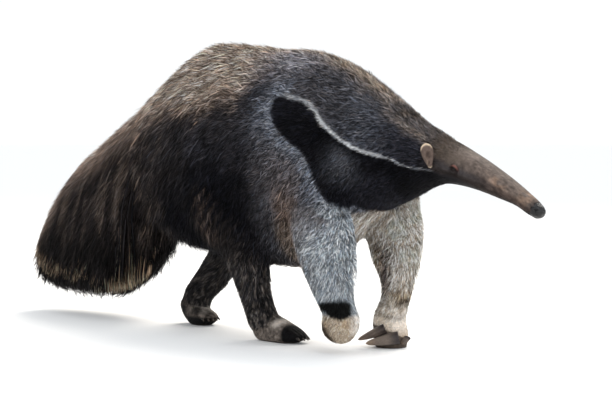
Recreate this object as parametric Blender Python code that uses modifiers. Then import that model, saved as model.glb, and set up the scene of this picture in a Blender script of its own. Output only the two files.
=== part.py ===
"""Giant anteater, life size, walking, as a still museum model.

Metres, +Z up, +X towards the nose, +Y to the animal's left.  The solids give
the outer outline of the animal, out to the tips of its coat.  The body is
modelled whole from lofted forms, blended, and parted with thin cuts into the
pieces a person would name.  The origin is under the middle of the animal, on
the floor.
"""
import math

import bmesh
import bpy
import numpy as np
from mathutils import Matrix, Vector

# ------------------------------------------------------------------ sizes
GAP = 0.0003            # clearance between neighbouring pieces
VOXEL = 0.0070          # grid of the blend between the lofted forms
BODY_TRIANGLES = 3200   # triangles of the whole body after thinning
FLAT = 6.0              # degrees under which faces beside a flat cut are merged
FLAT_FITTED = 1.5       # the same on the pieces that fit together along a sleeve
SOLE = 0.0              # level of the flats that it stands on

EYE_RADIUS = 0.0075
EAR_LENGTH = 0.051
EAR_WIDTH = 0.032
EAR_WALL = 0.0045
EAR_NARROW = 0.68       # how much the ear is drawn in at its base

# Stations of the body, from the root of the tail to the nose.  Each has a name,
# the back point (x, z), the belly point (x, z), the half width, how high the
# widest level lies between belly and back, and the sharpness of the section
# above and below that level (2 is an ellipse, less is a ridge, more is boxy).
BODY = (
    ("tail root", (-0.655, 0.520), (-0.625, 0.350), 0.058, 0.50, 2.0, 2.0),
    ("rump", (-0.596, 0.575), (-0.585, 0.262), 0.100, 0.50, 1.70, 2.0),
    ("hip", (-0.500, 0.637), (-0.490, 0.205), 0.138, 0.48, 1.65, 2.1),
    ("loin", (-0.400, 0.680), (-0.370, 0.190), 0.151, 0.46, 1.65, 2.2),
    ("back", (-0.290, 0.676), (-0.270, 0.178), 0.156, 0.46, 1.68, 2.3),
    ("ribs", (-0.170, 0.663), (-0.165, 0.170), 0.156, 0.46, 1.70, 2.3),
    ("elbow line", (-0.060, 0.655), (-0.050, 0.178), 0.152, 0.48, 1.75, 2.3),
    ("withers", (0.035, 0.626), (0.020, 0.228), 0.146, 0.50, 1.80, 2.2),
    ("shoulder", (0.108, 0.585), (0.088, 0.284), 0.132, 0.50, 1.85, 2.1),
    ("neck root", (0.176, 0.543), (0.154, 0.309), 0.108, 0.50, 1.9, 2.0),
    ("neck", (0.244, 0.500), (0.218, 0.331), 0.084, 0.50, 1.9, 2.0),
    ("nape", (0.300, 0.473), (0.272, 0.354), 0.067, 0.50, 2.0, 2.0),
    ("ears", (0.346, 0.452), (0.322, 0.365), 0.056, 0.48, 2.0, 2.0),
    ("eyes", (0.394, 0.428), (0.374, 0.360), 0.0455, 0.46, 2.1, 2.0),
    ("snout root", (0.438, 0.405), (0.416, 0.351), 0.0365, 0.48, 2.1, 2.0),
    ("mid snout", (0.482, 0.380), (0.461, 0.338), 0.0290, 0.50, 2.1, 2.0),
    ("fore snout", (0.518, 0.357), (0.501, 0.326), 0.0240, 0.50, 2.1, 2.1),
    ("snout end", (0.541, 0.343), (0.526, 0.311), 0.0210, 0.50, 2.1, 2.2),
    ("nose", (0.553, 0.334), (0.541, 0.3045), 0.0165, 0.50, 2.1, 2.2),
)

# Stations of the tail, the same way, out to the ends of its long hanging hair.
TAIL = (
    ("in the rump", (-0.560, 0.575), (-0.530, 0.330), 0.070, 0.55, 1.9, 2.0),
    ("root", (-0.640, 0.545), (-0.595, 0.170), 0.084, 0.50, 1.8, 2.1),
    ("first third", (-0.735, 0.495), (-0.675, 0.105), 0.096, 0.48, 1.75, 2.1),
    ("middle", (-0.830, 0.440), (-0.770, 0.060), 0.100, 0.46, 1.75, 2.1),
    ("second third", (-0.915, 0.392), (-0.868, 0.052), 0.094, 0.46, 1.75, 2.1),
    ("last third", (-0.990, 0.320), (-0.962, 0.058), 0.082, 0.46, 1.8, 2.1),
    ("end", (-1.052, 0.245), (-1.034, 0.066), 0.062, 0.48, 1.8, 2.0),
    ("tip", (-1.088, 0.182), (-1.080, 0.092), 0.036, 0.50, 2.0, 2.0),
)

# Stations of the legs: a name, the centre (x, out from the midline, z), then the
# half depths forward and back and the half widths outward and inward.
FORELEG_RIGHT = (
    ("shoulder", (0.030, 0.075, 0.440), 0.075, 0.085, 0.062, 0.050),
    ("upper arm", (0.048, 0.100, 0.340), 0.074, 0.088, 0.062, 0.050),
    ("elbow", (0.066, 0.110, 0.265), 0.068, 0.082, 0.058, 0.050),
    ("forearm", (0.081, 0.110, 0.200), 0.061, 0.068, 0.056, 0.050),
    ("low forearm", (0.087, 0.101, 0.145), 0.050, 0.054, 0.046, 0.043),
    ("wrist", (0.094, 0.093, 0.100), 0.041, 0.043, 0.038, 0.037),
    ("hand", (0.097, 0.087, 0.072), 0.043, 0.046, 0.041, 0.040),
    ("knuckles", (0.090, 0.085, 0.0535), 0.038, 0.043, 0.039, 0.038),
)
FORELEG_LEFT = (
    ("shoulder", (0.030, 0.075, 0.440), 0.075, 0.085, 0.062, 0.050),
    ("upper arm", (0.048, 0.102, 0.340), 0.080, 0.082, 0.066, 0.056),
    ("elbow", (0.062, 0.114, 0.262), 0.068, 0.072, 0.060, 0.056),
    ("forearm", (0.073, 0.112, 0.200), 0.057, 0.059, 0.053, 0.051),
    ("low forearm", (0.086, 0.104, 0.143), 0.042, 0.043, 0.039, 0.039),
    ("wrist", (0.086, 0.094, 0.100), 0.036, 0.037, 0.034, 0.034),
    ("hand", (0.078, 0.086, 0.060), 0.039, 0.040, 0.037, 0.037),
    ("pad", (0.082, 0.082, 0.024), 0.044, 0.038, 0.040, 0.037),
    ("under", (0.084, 0.080, -0.016), 0.036, 0.029, 0.032, 0.030),
)
HINDLEG_RIGHT = (
    ("hip", (-0.360, 0.075, 0.430), 0.100, 0.100, 0.070, 0.050),
    ("thigh", (-0.295, 0.090, 0.345), 0.105, 0.110, 0.070, 0.050),
    ("knee", (-0.213, 0.098, 0.262), 0.083, 0.092, 0.058, 0.046),
    ("shank", (-0.184, 0.098, 0.190), 0.057, 0.060, 0.046, 0.043),
    ("low shank", (-0.180, 0.086, 0.135), 0.044, 0.046, 0.040, 0.038),
    ("ankle", (-0.189, 0.062, 0.085), 0.040, 0.041, 0.037, 0.036),
    ("heel", (-0.190, 0.046, 0.045), 0.044, 0.040, 0.034, 0.034),
)
HINDLEG_LEFT = (
    ("hip", (-0.400, 0.075, 0.430), 0.100, 0.100, 0.070, 0.050),
    ("thigh", (-0.405, 0.090, 0.345), 0.095, 0.095, 0.066, 0.050),
    ("knee", (-0.425, 0.100, 0.262), 0.078, 0.076, 0.056, 0.048),
    ("shank", (-0.462, 0.102, 0.190), 0.060, 0.062, 0.048, 0.044),
    ("low shank", (-0.510, 0.087, 0.125), 0.050, 0.050, 0.042, 0.040),
    ("ankle", (-0.540, 0.067, 0.078), 0.043, 0.044, 0.037, 0.036),
    ("heel", (-0.543, 0.056, 0.045), 0.038, 0.038, 0.034, 0.034),
)
# Hind feet, heel to toes: a name, the centre (x, out, z), then the half heights
# up and down and the half widths outward and inward.  The right foot is planted
# and the left one rolls over its toes.
HINDFOOT_RIGHT = (
    ("heel", (-0.197, 0.040, 0.034), 0.030, 0.038, 0.030, 0.030),
    ("instep", (-0.158, 0.037, 0.030), 0.031, 0.037, 0.033, 0.033),
    ("ball", (-0.126, 0.031, 0.022), 0.025, 0.031, 0.035, 0.035),
    ("toes", (-0.101, 0.025, 0.017), 0.017, 0.019, 0.033, 0.033),
    ("toe ends", (-0.089, 0.021, 0.015), 0.010, 0.010, 0.026, 0.026),
)
HINDFOOT_LEFT = (
    ("heel", (-0.560, 0.055, 0.052), 0.030, 0.030, 0.030, 0.030),
    ("instep", (-0.546, 0.054, 0.036), 0.030, 0.032, 0.032, 0.032),
    ("ball", (-0.520, 0.052, 0.022), 0.027, 0.032, 0.034, 0.034),
    ("toes", (-0.494, 0.050, 0.020), 0.020, 0.023, 0.032, 0.032),
    ("toe ends", (-0.480, 0.048, 0.020), 0.013, 0.013, 0.026, 0.026),
)

# Outlines that part each leg from the trunk, the same way as the legs.
SLEEVE_FORE = (
    ("top", (0.035, 0.130, 0.385), 0.085, 0.095, 0.080, 0.075),
    ("arm", (0.050, 0.122, 0.320), 0.090, 0.100, 0.085, 0.070),
    ("elbow", (0.066, 0.117, 0.255), 0.086, 0.088, 0.085, 0.067),
    ("forearm", (0.080, 0.110, 0.190), 0.085, 0.080, 0.080, 0.068),
    ("wrist", (0.090, 0.095, 0.110), 0.085, 0.085, 0.080, 0.070),
    ("hand", (0.090, 0.090, 0.050), 0.085, 0.085, 0.080, 0.070),
    ("floor", (0.090, 0.088, -0.060), 0.085, 0.085, 0.080, 0.070),
)
SLEEVE_HIND_RIGHT = (
    ("top", (-0.345, 0.130, 0.375), 0.105, 0.110, 0.080, 0.075),
    ("thigh", (-0.290, 0.118, 0.320), 0.105, 0.112, 0.085, 0.072),
    ("knee", (-0.220, 0.108, 0.255), 0.098, 0.108, 0.082, 0.068),
    ("shank", (-0.184, 0.100, 0.190), 0.080, 0.086, 0.075, 0.064),
    ("low shank", (-0.170, 0.080, 0.130), 0.090, 0.085, 0.075, 0.068),
    ("foot", (-0.145, 0.050, 0.060), 0.120, 0.110, 0.078, 0.080),
    ("floor", (-0.145, 0.045, -0.060), 0.120, 0.110, 0.078, 0.080),
)
SLEEVE_HIND_LEFT = (
    ("top", (-0.400, 0.130, 0.375), 0.100, 0.105, 0.080, 0.075),
    ("thigh", (-0.405, 0.118, 0.320), 0.102, 0.105, 0.085, 0.072),
    ("knee", (-0.425, 0.108, 0.255), 0.092, 0.092, 0.080, 0.068),
    ("shank", (-0.462, 0.102, 0.190), 0.080, 0.082, 0.072, 0.064),
    ("low shank", (-0.505, 0.087, 0.125), 0.085, 0.076, 0.066, 0.064),
    ("foot", (-0.520, 0.062, 0.060), 0.088, 0.084, 0.070, 0.072),
    ("floor", (-0.520, 0.060, -0.060), 0.088, 0.084, 0.070, 0.072),
)

# Cuts across the body and legs: a point on the cut and the way it faces, which
# is towards the piece that comes off first.
NOSE_CUT = ((0.536, 0.0, 0.327), (0.82, 0.0, -0.57))
SNOUT_CUT = ((0.430, 0.0, 0.379), (0.84, 0.0, -0.54))
HEAD_CUT = ((0.284, 0.0, 0.412), (0.84, 0.0, -0.54))
NECK_CUT = ((0.203, 0.0, 0.430), (0.93, 0.0, -0.37))
TAIL_END_CUT = ((-0.945, 0.0, 0.210), (-0.96, 0.0, -0.28))
TAIL_MIDDLE_CUT = ((-0.780, 0.0, 0.270), (-0.97, 0.0, -0.24))
TAIL_ROOT_CUT = ((-0.612, 0.0, 0.370), (-1.0, 0.0, 0.0))
LEG_CUTS = {
    "fore_R": (((0.085, -0.09, 0.100), (0.0, 0.0, -1.0)), ((0.070, -0.11, 0.206), (0.0, 0.0, -1.0))),
    "fore_L": (((0.085, 0.09, 0.098), (0.0, 0.0, -1.0)), ((0.070, 0.11, 0.206), (0.0, 0.0, -1.0))),
    "hind_R": (((-0.188, -0.06, 0.082), (0.0, 0.0, -1.0)), ((-0.184, -0.10, 0.164), (0.0, 0.0, -1.0))),
    "hind_L": (((-0.540, 0.06, 0.088), (-0.25, 0.0, -1.0)), ((-0.480, 0.10, 0.172), (-0.20, 0.0, -1.0))),
}
LEG_PIECES = {
    "fore_R": ("hand_R", "forearm_R", "upper_arm_R"),
    "fore_L": ("hand_L", "forearm_L", "upper_arm_L"),
    "hind_R": ("hind_foot_R", "shank_R", "thigh_R"),
    "hind_L": ("hind_foot_L", "shank_L", "thigh_L"),
}

EYE_CENTRE = (0.3715, 0.0425, 0.3985)
# Ears: the middle, the way the ear stands and the way its bowl opens.  The right
# one is pricked and the left one is laid back along the head.
EARS = {
    "R": ((0.3208, -0.0665, 0.4238), (-0.06, -0.26, 1.0), (0.66, -0.75, 0.05)),
    "L": ((0.3040, 0.0690, 0.4160), (-0.85, 0.45, 0.35), (0.45, 0.80, 0.20)),
}

# Claws: the points of a bend from root to tip (x, y, z), and the radii at both.
CLAWS = {
    "claw_hand_L_1": (((0.0897, 0.0578, 0.0480), (0.0688, 0.0385, 0.0340), (0.0455, 0.0184, 0.0205)), 0.0110, 0.0034),
    "claw_hand_L_2": (((0.1078, 0.0717, 0.0290), (0.0909, 0.0491, 0.0165), (0.0614, 0.0240, 0.0095)), 0.0120, 0.0038),
    "claw_hand_L_3": (((0.1240, 0.0900, 0.0270), (0.1250, 0.0850, 0.0170), (0.1190, 0.0780, 0.0098)), 0.0060, 0.0036),
    "claw_hand_R_1": (((0.076, -0.064, 0.069), (0.054, -0.056, 0.061), (0.036, -0.060, 0.047)), 0.0090, 0.0022),
    "claw_hand_R_2": (((0.086, -0.066, 0.044), (0.064, -0.062, 0.034), (0.044, -0.070, 0.034)), 0.0115, 0.0026),
    "claw_hand_R_3": (((0.113, -0.070, 0.050), (0.103, -0.056, 0.042), (0.089, -0.050, 0.034)), 0.0065, 0.0020),
}
HIND_CLAW_SPREAD = (-0.021, -0.011, 0.0, 0.011, 0.021)
HIND_CLAW_LENGTH = 0.021
HIND_CLAW_ROOT = 0.0042
HIND_CLAW_TIP = 0.0014


# ------------------------------------------------------------ form making
def spline(values, n):
    """Rows of numbers passed through smoothly, n steps to a span."""
    v = np.asarray(values, float)
    dist = np.linalg.norm(np.diff(v[:, :3], axis=0), axis=1)
    knots = np.concatenate([[0.0], np.cumsum(np.sqrt(dist + 1e-9))])
    slope = np.zeros_like(v)
    slope[1:-1] = (v[2:] - v[:-2]) / (knots[2:] - knots[:-2])[:, None]
    slope[0] = (v[1] - v[0]) / (knots[1] - knots[0])
    slope[-1] = (v[-1] - v[-2]) / (knots[-1] - knots[-2])
    rows = []
    for i in range(len(v) - 1):
        step = knots[i + 1] - knots[i]
        for t in np.arange(n) / n:
            a = 2 * t**3 - 3 * t**2 + 1
            b = t**3 - 2 * t**2 + t
            c = -2 * t**3 + 3 * t**2
            d = t**3 - t**2
            rows.append(a * v[i] + b * step * slope[i] + c * v[i + 1] + d * step * slope[i + 1])
    rows.append(v[-1])
    return np.array(rows)


def ring(centre, a_axis, b_axis, a_plus, a_minus, b_plus, b_minus, e_plus, e_minus, around):
    """One closed section: half sizes along +a, -a, +b and -b, super-elliptic."""
    points = []
    for k in range(around):
        t = 2 * math.pi * k / around
        c, s = math.cos(t), math.sin(t)
        e = e_plus if c >= 0 else e_minus
        ca = math.copysign(abs(c) ** (2 / e), c)
        sb = math.copysign(abs(s) ** (2 / e), s)
        points.append(
            centre
            + a_axis * ca * (a_plus if c >= 0 else a_minus)
            + b_axis * sb * (b_plus if s >= 0 else b_minus)
        )
    return points


def skin_rings(name, rings, ends):
    """A closed shell over the rings, with a point beyond the first and the last."""
    around = len(rings[0])
    bm = bmesh.new()
    rows = [[bm.verts.new(Vector(p)) for p in r] for r in rings]
    for low, high in zip(rows[:-1], rows[1:]):
        for k in range(around):
            j = (k + 1) % around
            bm.faces.new((low[k], low[j], high[j], high[k]))
    for row, tip, turn in ((rows[0], ends[0], True), (rows[-1], ends[1], False)):
        point = bm.verts.new(Vector(tip))
        for k in range(around):
            j = (k + 1) % around
            bm.faces.new((row[j], row[k], point) if turn else (row[k], row[j], point))
    bmesh.ops.recalc_face_normals(bm, faces=bm.faces)
    mesh = bpy.data.meshes.new(name)
    bm.to_mesh(mesh)
    bm.free()
    obj = bpy.data.objects.new(name, mesh)
    FORMS.objects.link(obj)
    return obj


def rounded(rows, frames, cap):
    """Rings for the rows, with the two ends drawn in over a length of cap times their size."""
    rings = []
    first, last = rows[0], rows[-1]
    for share in (0.35, 0.72, 0.93):
        row = first.copy()
        row[3:7] *= share
        row[:3] = first[:3] - frames[0][2] * cap * math.sqrt(1 - share**2) * first[3:7].mean()
        rings.append((row, frames[0]))
    rings += list(zip(rows, frames))
    for share in (0.93, 0.72, 0.35):
        row = last.copy()
        row[3:7] *= share
        row[:3] = last[:3] + frames[-1][2] * cap * math.sqrt(1 - share**2) * last[3:7].mean()
        rings.append((row, frames[-1]))
    tips = (
        first[:3] - frames[0][2] * cap * 1.02 * first[3:7].mean(),
        last[:3] + frames[-1][2] * cap * 1.02 * last[3:7].mean(),
    )
    return rings, tips


def trunk_loft(name, stations, steps, around, cap):
    """A loft whose sections stand between a back point and a belly point."""
    values = []
    for _, (xt, zt), (xb, zb), half, wide, e_up, e_down in stations:
        top, low = np.array((xt, 0.0, zt)), np.array((xb, 0.0, zb))
        centre = low + wide * (top - low)
        height = np.linalg.norm(top - low)
        lean = math.atan2(xt - xb, zt - zb)
        values.append(
            [*centre, height * (1 - wide), height * wide, half, half, e_up, e_down, lean]
        )
    rows = spline(values, steps)
    left = np.array((0.0, 1.0, 0.0))
    frames = []
    for row in rows:
        up = np.array((math.sin(row[9]), 0.0, math.cos(row[9])))
        frames.append((up, left, np.cross(left, up)))
    rings, tips = rounded(rows, frames, cap)
    made = [
        ring(r[:3], f[0], f[1], r[3], r[4], r[5], r[6], r[7], r[8], around) for r, f in rings
    ]
    return skin_rings(name, made, tips)


def limb_loft(name, stations, side, steps, around, hint, cap=0.8):
    """A loft down a limb.  side is +1 for the left and -1 for the right; hint is
    the way the first pair of half sizes points."""
    values = []
    for _, (x, out, z), a_plus, a_minus, outward, inward in stations:
        values.append([x, out, z, a_plus, a_minus, outward, inward])
    rows = spline(values, steps)
    frames = []
    for i, row in enumerate(rows):
        along = rows[min(i + 1, len(rows) - 1)][:3] - rows[max(i - 1, 0)][:3]
        along /= np.linalg.norm(along)
        a_axis = np.array(hint, float) - along * np.dot(hint, along)
        a_axis /= np.linalg.norm(a_axis)
        outward = np.cross(a_axis, along)
        if outward[1] < 0:
            outward = -outward
        frames.append((a_axis, outward, along))
    rings, tips = rounded(rows, frames, cap)
    made = [
        ring(r[:3], f[0], f[1], r[3], r[4], r[5], r[6], 2.1, 2.1, around) for r, f in rings
    ]

    def placed(p):
        return (p[0], side * p[1], p[2])

    return skin_rings(name, [[placed(p) for p in r] for r in made], [placed(t) for t in tips])


def evaluated(obj):
    """The object's mesh with its modifiers, as a new mesh."""
    bpy.context.view_layer.update()
    graph = bpy.context.evaluated_depsgraph_get()
    return bpy.data.meshes.new_from_object(obj.evaluated_get(graph))


def joined(name, objects, collection):
    """The objects' meshes gathered in one new object; the originals go."""
    bm = bmesh.new()
    for o in objects:
        mesh = evaluated(o)
        mesh.transform(o.matrix_world)
        bm.from_mesh(mesh)
        bpy.data.meshes.remove(mesh)
        bpy.data.objects.remove(o)
    mesh = bpy.data.meshes.new(name)
    bm.to_mesh(mesh)
    bm.free()
    obj = bpy.data.objects.new(name, mesh)
    collection.objects.link(obj)
    return obj


# ------------------------------------------------------------- materials
def material(name, colour, roughness):
    made = bpy.data.materials.new(name)
    made.use_nodes = True
    shader = made.node_tree.nodes["Principled BSDF"]
    shader.inputs["Base Color"].default_value = (*colour, 1.0)
    shader.inputs["Roughness"].default_value = roughness
    shader.inputs["Metallic"].default_value = 0.0
    return made


def with_material(obj, made):
    obj.data.materials.clear()
    obj.data.materials.append(made)
    return obj


# ---------------------------------------------------------------- cutting
def boolean(obj, other, operation):
    """The object's mesh after a Boolean with the other, in place."""
    step = obj.modifiers.new(operation.lower(), "BOOLEAN")
    step.operation = operation
    step.solver = "EXACT"
    step.object = other
    mesh = evaluated(obj)
    obj.modifiers.remove(step)
    old = obj.data
    obj.data = mesh
    bpy.data.meshes.remove(old)
    return obj


def tidy(obj, merge=0.00005, flat=0.0):
    """Weld, drop slivers and make every face a triangle facing out.  flat is the
    angle in degrees under which neighbouring faces are merged first."""
    bm = bmesh.new()
    bm.from_mesh(obj.data)
    bmesh.ops.remove_doubles(bm, verts=bm.verts, dist=merge)
    bmesh.ops.dissolve_degenerate(bm, edges=bm.edges, dist=merge)
    if flat:
        bmesh.ops.dissolve_limit(
            bm, angle_limit=math.radians(flat), verts=bm.verts, edges=bm.edges
        )
    bmesh.ops.triangulate(bm, faces=bm.faces)
    if flat and any(len(e.link_faces) != 2 for e in bm.edges):
        bm.free()
        return tidy(obj, merge, flat / 2 if flat > 1.0 else 0.0)
    bmesh.ops.recalc_face_normals(bm, faces=bm.faces)
    for face in bm.faces:
        face.smooth = True
    bm.to_mesh(obj.data)
    bm.free()
    return obj


def half(obj, name, point, facing, keep_front):
    """A new object with the part of obj before or behind a plane, closed flat."""
    bm = bmesh.new()
    bm.from_mesh(obj.data)
    way = Vector(facing).normalized()
    shift = way * (GAP / 2 if keep_front else -GAP / 2)
    bmesh.ops.bisect_plane(
        bm,
        geom=bm.verts[:] + bm.edges[:] + bm.faces[:],
        dist=1e-7,
        plane_co=Vector(point) + shift,
        plane_no=way,
        clear_outer=not keep_front,
        clear_inner=keep_front,
    )
    rim = [e for e in bm.edges if e.is_boundary]
    bmesh.ops.triangle_fill(bm, edges=rim, use_beauty=True, use_dissolve=False)
    bmesh.ops.triangulate(bm, faces=bm.faces)
    bmesh.ops.recalc_face_normals(bm, faces=bm.faces)
    mesh = bpy.data.meshes.new(name)
    bm.to_mesh(mesh)
    bm.free()
    made = bpy.data.objects.new(name, mesh)
    ANIMAL.objects.link(made)
    return made


def part_off(obj, name, cut):
    """Cut a piece off the front of the plane; obj keeps the rest."""
    piece = half(obj, name, cut[0], cut[1], True)
    rest = half(obj, obj.name + "_rest", cut[0], cut[1], False)
    obj.data = rest.data
    bpy.data.objects.remove(rest)
    return piece


def largest(obj):
    """Keep the largest closed piece of the object's mesh only."""
    bm = bmesh.new()
    bm.from_mesh(obj.data)
    seen, groups = set(), []
    for start in bm.verts:
        if start in seen:
            continue
        stack, group = [start], []
        seen.add(start)
        while stack:
            v = stack.pop()
            group.append(v)
            for e in v.link_edges:
                w = e.other_vert(v)
                if w not in seen:
                    seen.add(w)
                    stack.append(w)
        groups.append(group)
    groups.sort(key=len)
    for group in groups[:-1]:
        bmesh.ops.delete(bm, geom=group, context="VERTS")
    bm.to_mesh(obj.data)
    bm.free()


# ---------------------------------------------------------------- building
for old in list(bpy.data.objects):
    bpy.data.objects.remove(old)
for old in list(bpy.data.collections):
    bpy.data.collections.remove(old)

ANIMAL = bpy.data.collections.new("giant_anteater")
FORMS = bpy.data.collections.new("cutters_and_forms")
for group in (ANIMAL, FORMS):
    bpy.context.scene.collection.children.link(group)

forms = [
    trunk_loft("form_body", BODY, 5, 40, 0.8),
    trunk_loft("form_tail", TAIL, 5, 32, 0.7),
    limb_loft("form_fore_r", FORELEG_RIGHT, -1, 4, 24, (1, 0, 0)),
    limb_loft("form_fore_l", FORELEG_LEFT, 1, 4, 24, (1, 0, 0)),
    limb_loft("form_hind_r", HINDLEG_RIGHT, -1, 4, 24, (1, 0, 0)),
    limb_loft("form_hind_l", HINDLEG_LEFT, 1, 4, 24, (1, 0, 0)),
    limb_loft("form_foot_r", HINDFOOT_RIGHT, -1, 4, 20, (0, 0, 1), 0.7),
    limb_loft("form_foot_l", HINDFOOT_LEFT, 1, 4, 20, (0, 0, 1), 0.7),
]
whole = joined("whole", forms, FORMS)

# One blended surface, then thinned.
blend = whole.modifiers.new("blend", "REMESH")
blend.mode = "VOXEL"
blend.voxel_size = VOXEL
soften = whole.modifiers.new("soften", "SMOOTH")
soften.factor = 0.5
soften.iterations = 5
whole.data = evaluated(whole)
whole.modifiers.clear()
thin = whole.modifiers.new("thin", "DECIMATE")
thin.ratio = BODY_TRIANGLES / (2.0 * len(whole.data.polygons))
whole.data = evaluated(whole)
whole.modifiers.clear()
largest(whole)
tidy(whole)

# The flats that it stands on.
standing = half(whole, "standing", (0.0, 0.0, SOLE - GAP / 2), (0.0, 0.0, 1.0), True)
whole.data = standing.data
bpy.data.objects.remove(standing)

# The legs come off along their sleeves.
pieces = {}
for leg, stations, side in (
    ("fore_R", SLEEVE_FORE, -1),
    ("fore_L", SLEEVE_FORE, 1),
    ("hind_R", SLEEVE_HIND_RIGHT, -1),
    ("hind_L", SLEEVE_HIND_LEFT, 1),
):
    grown = [(n, c, *(size + GAP for size in sizes)) for n, c, *sizes in stations]
    sleeve = limb_loft("sleeve_" + leg, stations, side, 1, 14, (1, 0, 0), 0.75)
    socket = limb_loft("socket_" + leg, grown, side, 1, 14, (1, 0, 0), 0.75)
    limb = bpy.data.objects.new(leg, whole.data.copy())
    ANIMAL.objects.link(limb)
    boolean(limb, sleeve, "INTERSECT")
    boolean(whole, socket, "DIFFERENCE")
    tidy(limb)
    largest(limb)
    tidy(whole)
    first, second, third = LEG_PIECES[leg]
    pieces[first] = part_off(limb, first, LEG_CUTS[leg][0])
    pieces[second] = part_off(limb, second, LEG_CUTS[leg][1])
    limb.name = third
    pieces[third] = limb
largest(whole)

pieces["nose"] = part_off(whole, "nose", NOSE_CUT)
pieces["snout"] = part_off(whole, "snout", SNOUT_CUT)
pieces["head"] = part_off(whole, "head", HEAD_CUT)
pieces["neck"] = part_off(whole, "neck", NECK_CUT)
pieces["tail_end"] = part_off(whole, "tail_end", TAIL_END_CUT)
pieces["tail_middle"] = part_off(whole, "tail_middle", TAIL_MIDDLE_CUT)
pieces["tail_root"] = part_off(whole, "tail_root", TAIL_ROOT_CUT)
FORMS.objects.unlink(whole)
ANIMAL.objects.link(whole)
whole.name = "trunk"
pieces["trunk"] = whole
for piece in pieces.values():
    largest(piece)
    fitted = piece.name == "trunk" or piece.name[-2:] in ("_L", "_R")
    tidy(piece, 0.00002, FLAT_FITTED if fitted else FLAT)


# ------------------------------------------------------------- small parts
def ball(name, centre, sizes, rotation, collection, segments=12, rings=9, narrow=0.0):
    """An ellipsoid; narrow is how much its lower end is drawn in."""
    bm = bmesh.new()
    bmesh.ops.create_uvsphere(bm, u_segments=segments, v_segments=rings, radius=1.0)
    for v in bm.verts:
        share = 1.0 - narrow * (0.5 - 0.5 * v.co.z) ** 1.3
        v.co.x *= share
        v.co.y *= share
    bm.transform(Matrix.Translation(centre) @ rotation.to_4x4() @ Matrix.Diagonal((*sizes, 1.0)))
    mesh = bpy.data.meshes.new(name)
    bm.to_mesh(mesh)
    bm.free()
    obj = bpy.data.objects.new(name, mesh)
    collection.objects.link(obj)
    return obj


def grown_copy(obj, name, amount):
    """A copy moved outward along its normals, to cut the clearance with."""
    mesh = obj.data.copy()
    normals = [v.normal.copy() for v in mesh.vertices]
    for v, n in zip(mesh.vertices, normals):
        v.co += n * amount
    made = bpy.data.objects.new(name, mesh)
    FORMS.objects.link(made)
    return made


for side, tag in ((-1, "R"), (1, "L")):
    x, y, z = EYE_CENTRE
    eye = ball("eye_" + tag, (x, side * y, z), (EYE_RADIUS,) * 3, Matrix.Identity(3), ANIMAL)
    socket = ball(
        "socket_eye_" + tag, (x, side * y, z), (EYE_RADIUS + GAP,) * 3, Matrix.Identity(3), FORMS
    )
    boolean(pieces["head"], socket, "DIFFERENCE")
    pieces["eye_" + tag] = eye

    centre, up, out = (Vector(row) for row in EARS[tag])
    up.normalize()
    out = (out - up * out.dot(up)).normalized()
    across = up.cross(out)
    turn = Matrix((across, out, up)).transposed()
    depth = 0.34 * EAR_WIDTH
    shell = ball(
        "ear_" + tag,
        centre,
        (EAR_WIDTH / 2, depth, EAR_LENGTH / 2),
        turn,
        ANIMAL,
        narrow=EAR_NARROW,
    )
    bowl = ball(
        "bowl_" + tag,
        centre + out * (depth * 0.50),
        (EAR_WIDTH / 2 - EAR_WALL * 0.6, depth * 1.08, EAR_LENGTH / 2 - EAR_WALL * 0.8),
        turn,
        FORMS,
        narrow=EAR_NARROW,
    )
    boolean(shell, bowl, "DIFFERENCE")
    tidy(shell)
    boolean(shell, grown_copy(pieces["head"], "skull_" + tag, GAP), "DIFFERENCE")
    tidy(shell, 0.0001)
    tidy(shell, 0.0001)
    largest(shell)
    pieces["ear_" + tag] = shell
tidy(pieces["head"])


def claw(name, bend, root, tip, steps=5, resolution=2):
    """A bent, tapering claw along a curve with closed ends."""
    a, b, c = (Vector(p) for p in bend)
    curve = bpy.data.curves.new(name, "CURVE")
    curve.dimensions = "3D"
    curve.bevel_depth = 1.0
    curve.bevel_resolution = resolution
    curve.use_fill_caps = True
    line = curve.splines.new("POLY")
    line.points.add(steps)
    for i, point in enumerate(line.points):
        t = i / steps
        where = a * (1 - t) ** 2 + b * 2 * t * (1 - t) + c * t**2
        point.co = (*where, 1.0)
        point.radius = root + (tip - root) * t**1.8
    holder = bpy.data.objects.new(name + "_line", curve)
    FORMS.objects.link(holder)
    mesh = evaluated(holder)
    made = bpy.data.objects.new(name, mesh)
    ANIMAL.objects.link(made)
    bpy.data.objects.remove(holder)
    return tidy(made)


def seat(made, foot):
    """Cut the claw's place, with the clearance, out of the foot."""
    boolean(pieces[foot], grown_copy(made, "seat_" + made.name, GAP), "DIFFERENCE")
    pieces[made.name] = made


for name, (bend, root, tip) in CLAWS.items():
    seat(claw(name, bend, root, tip), "hand_R" if "hand_R" in name else "hand_L")

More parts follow.
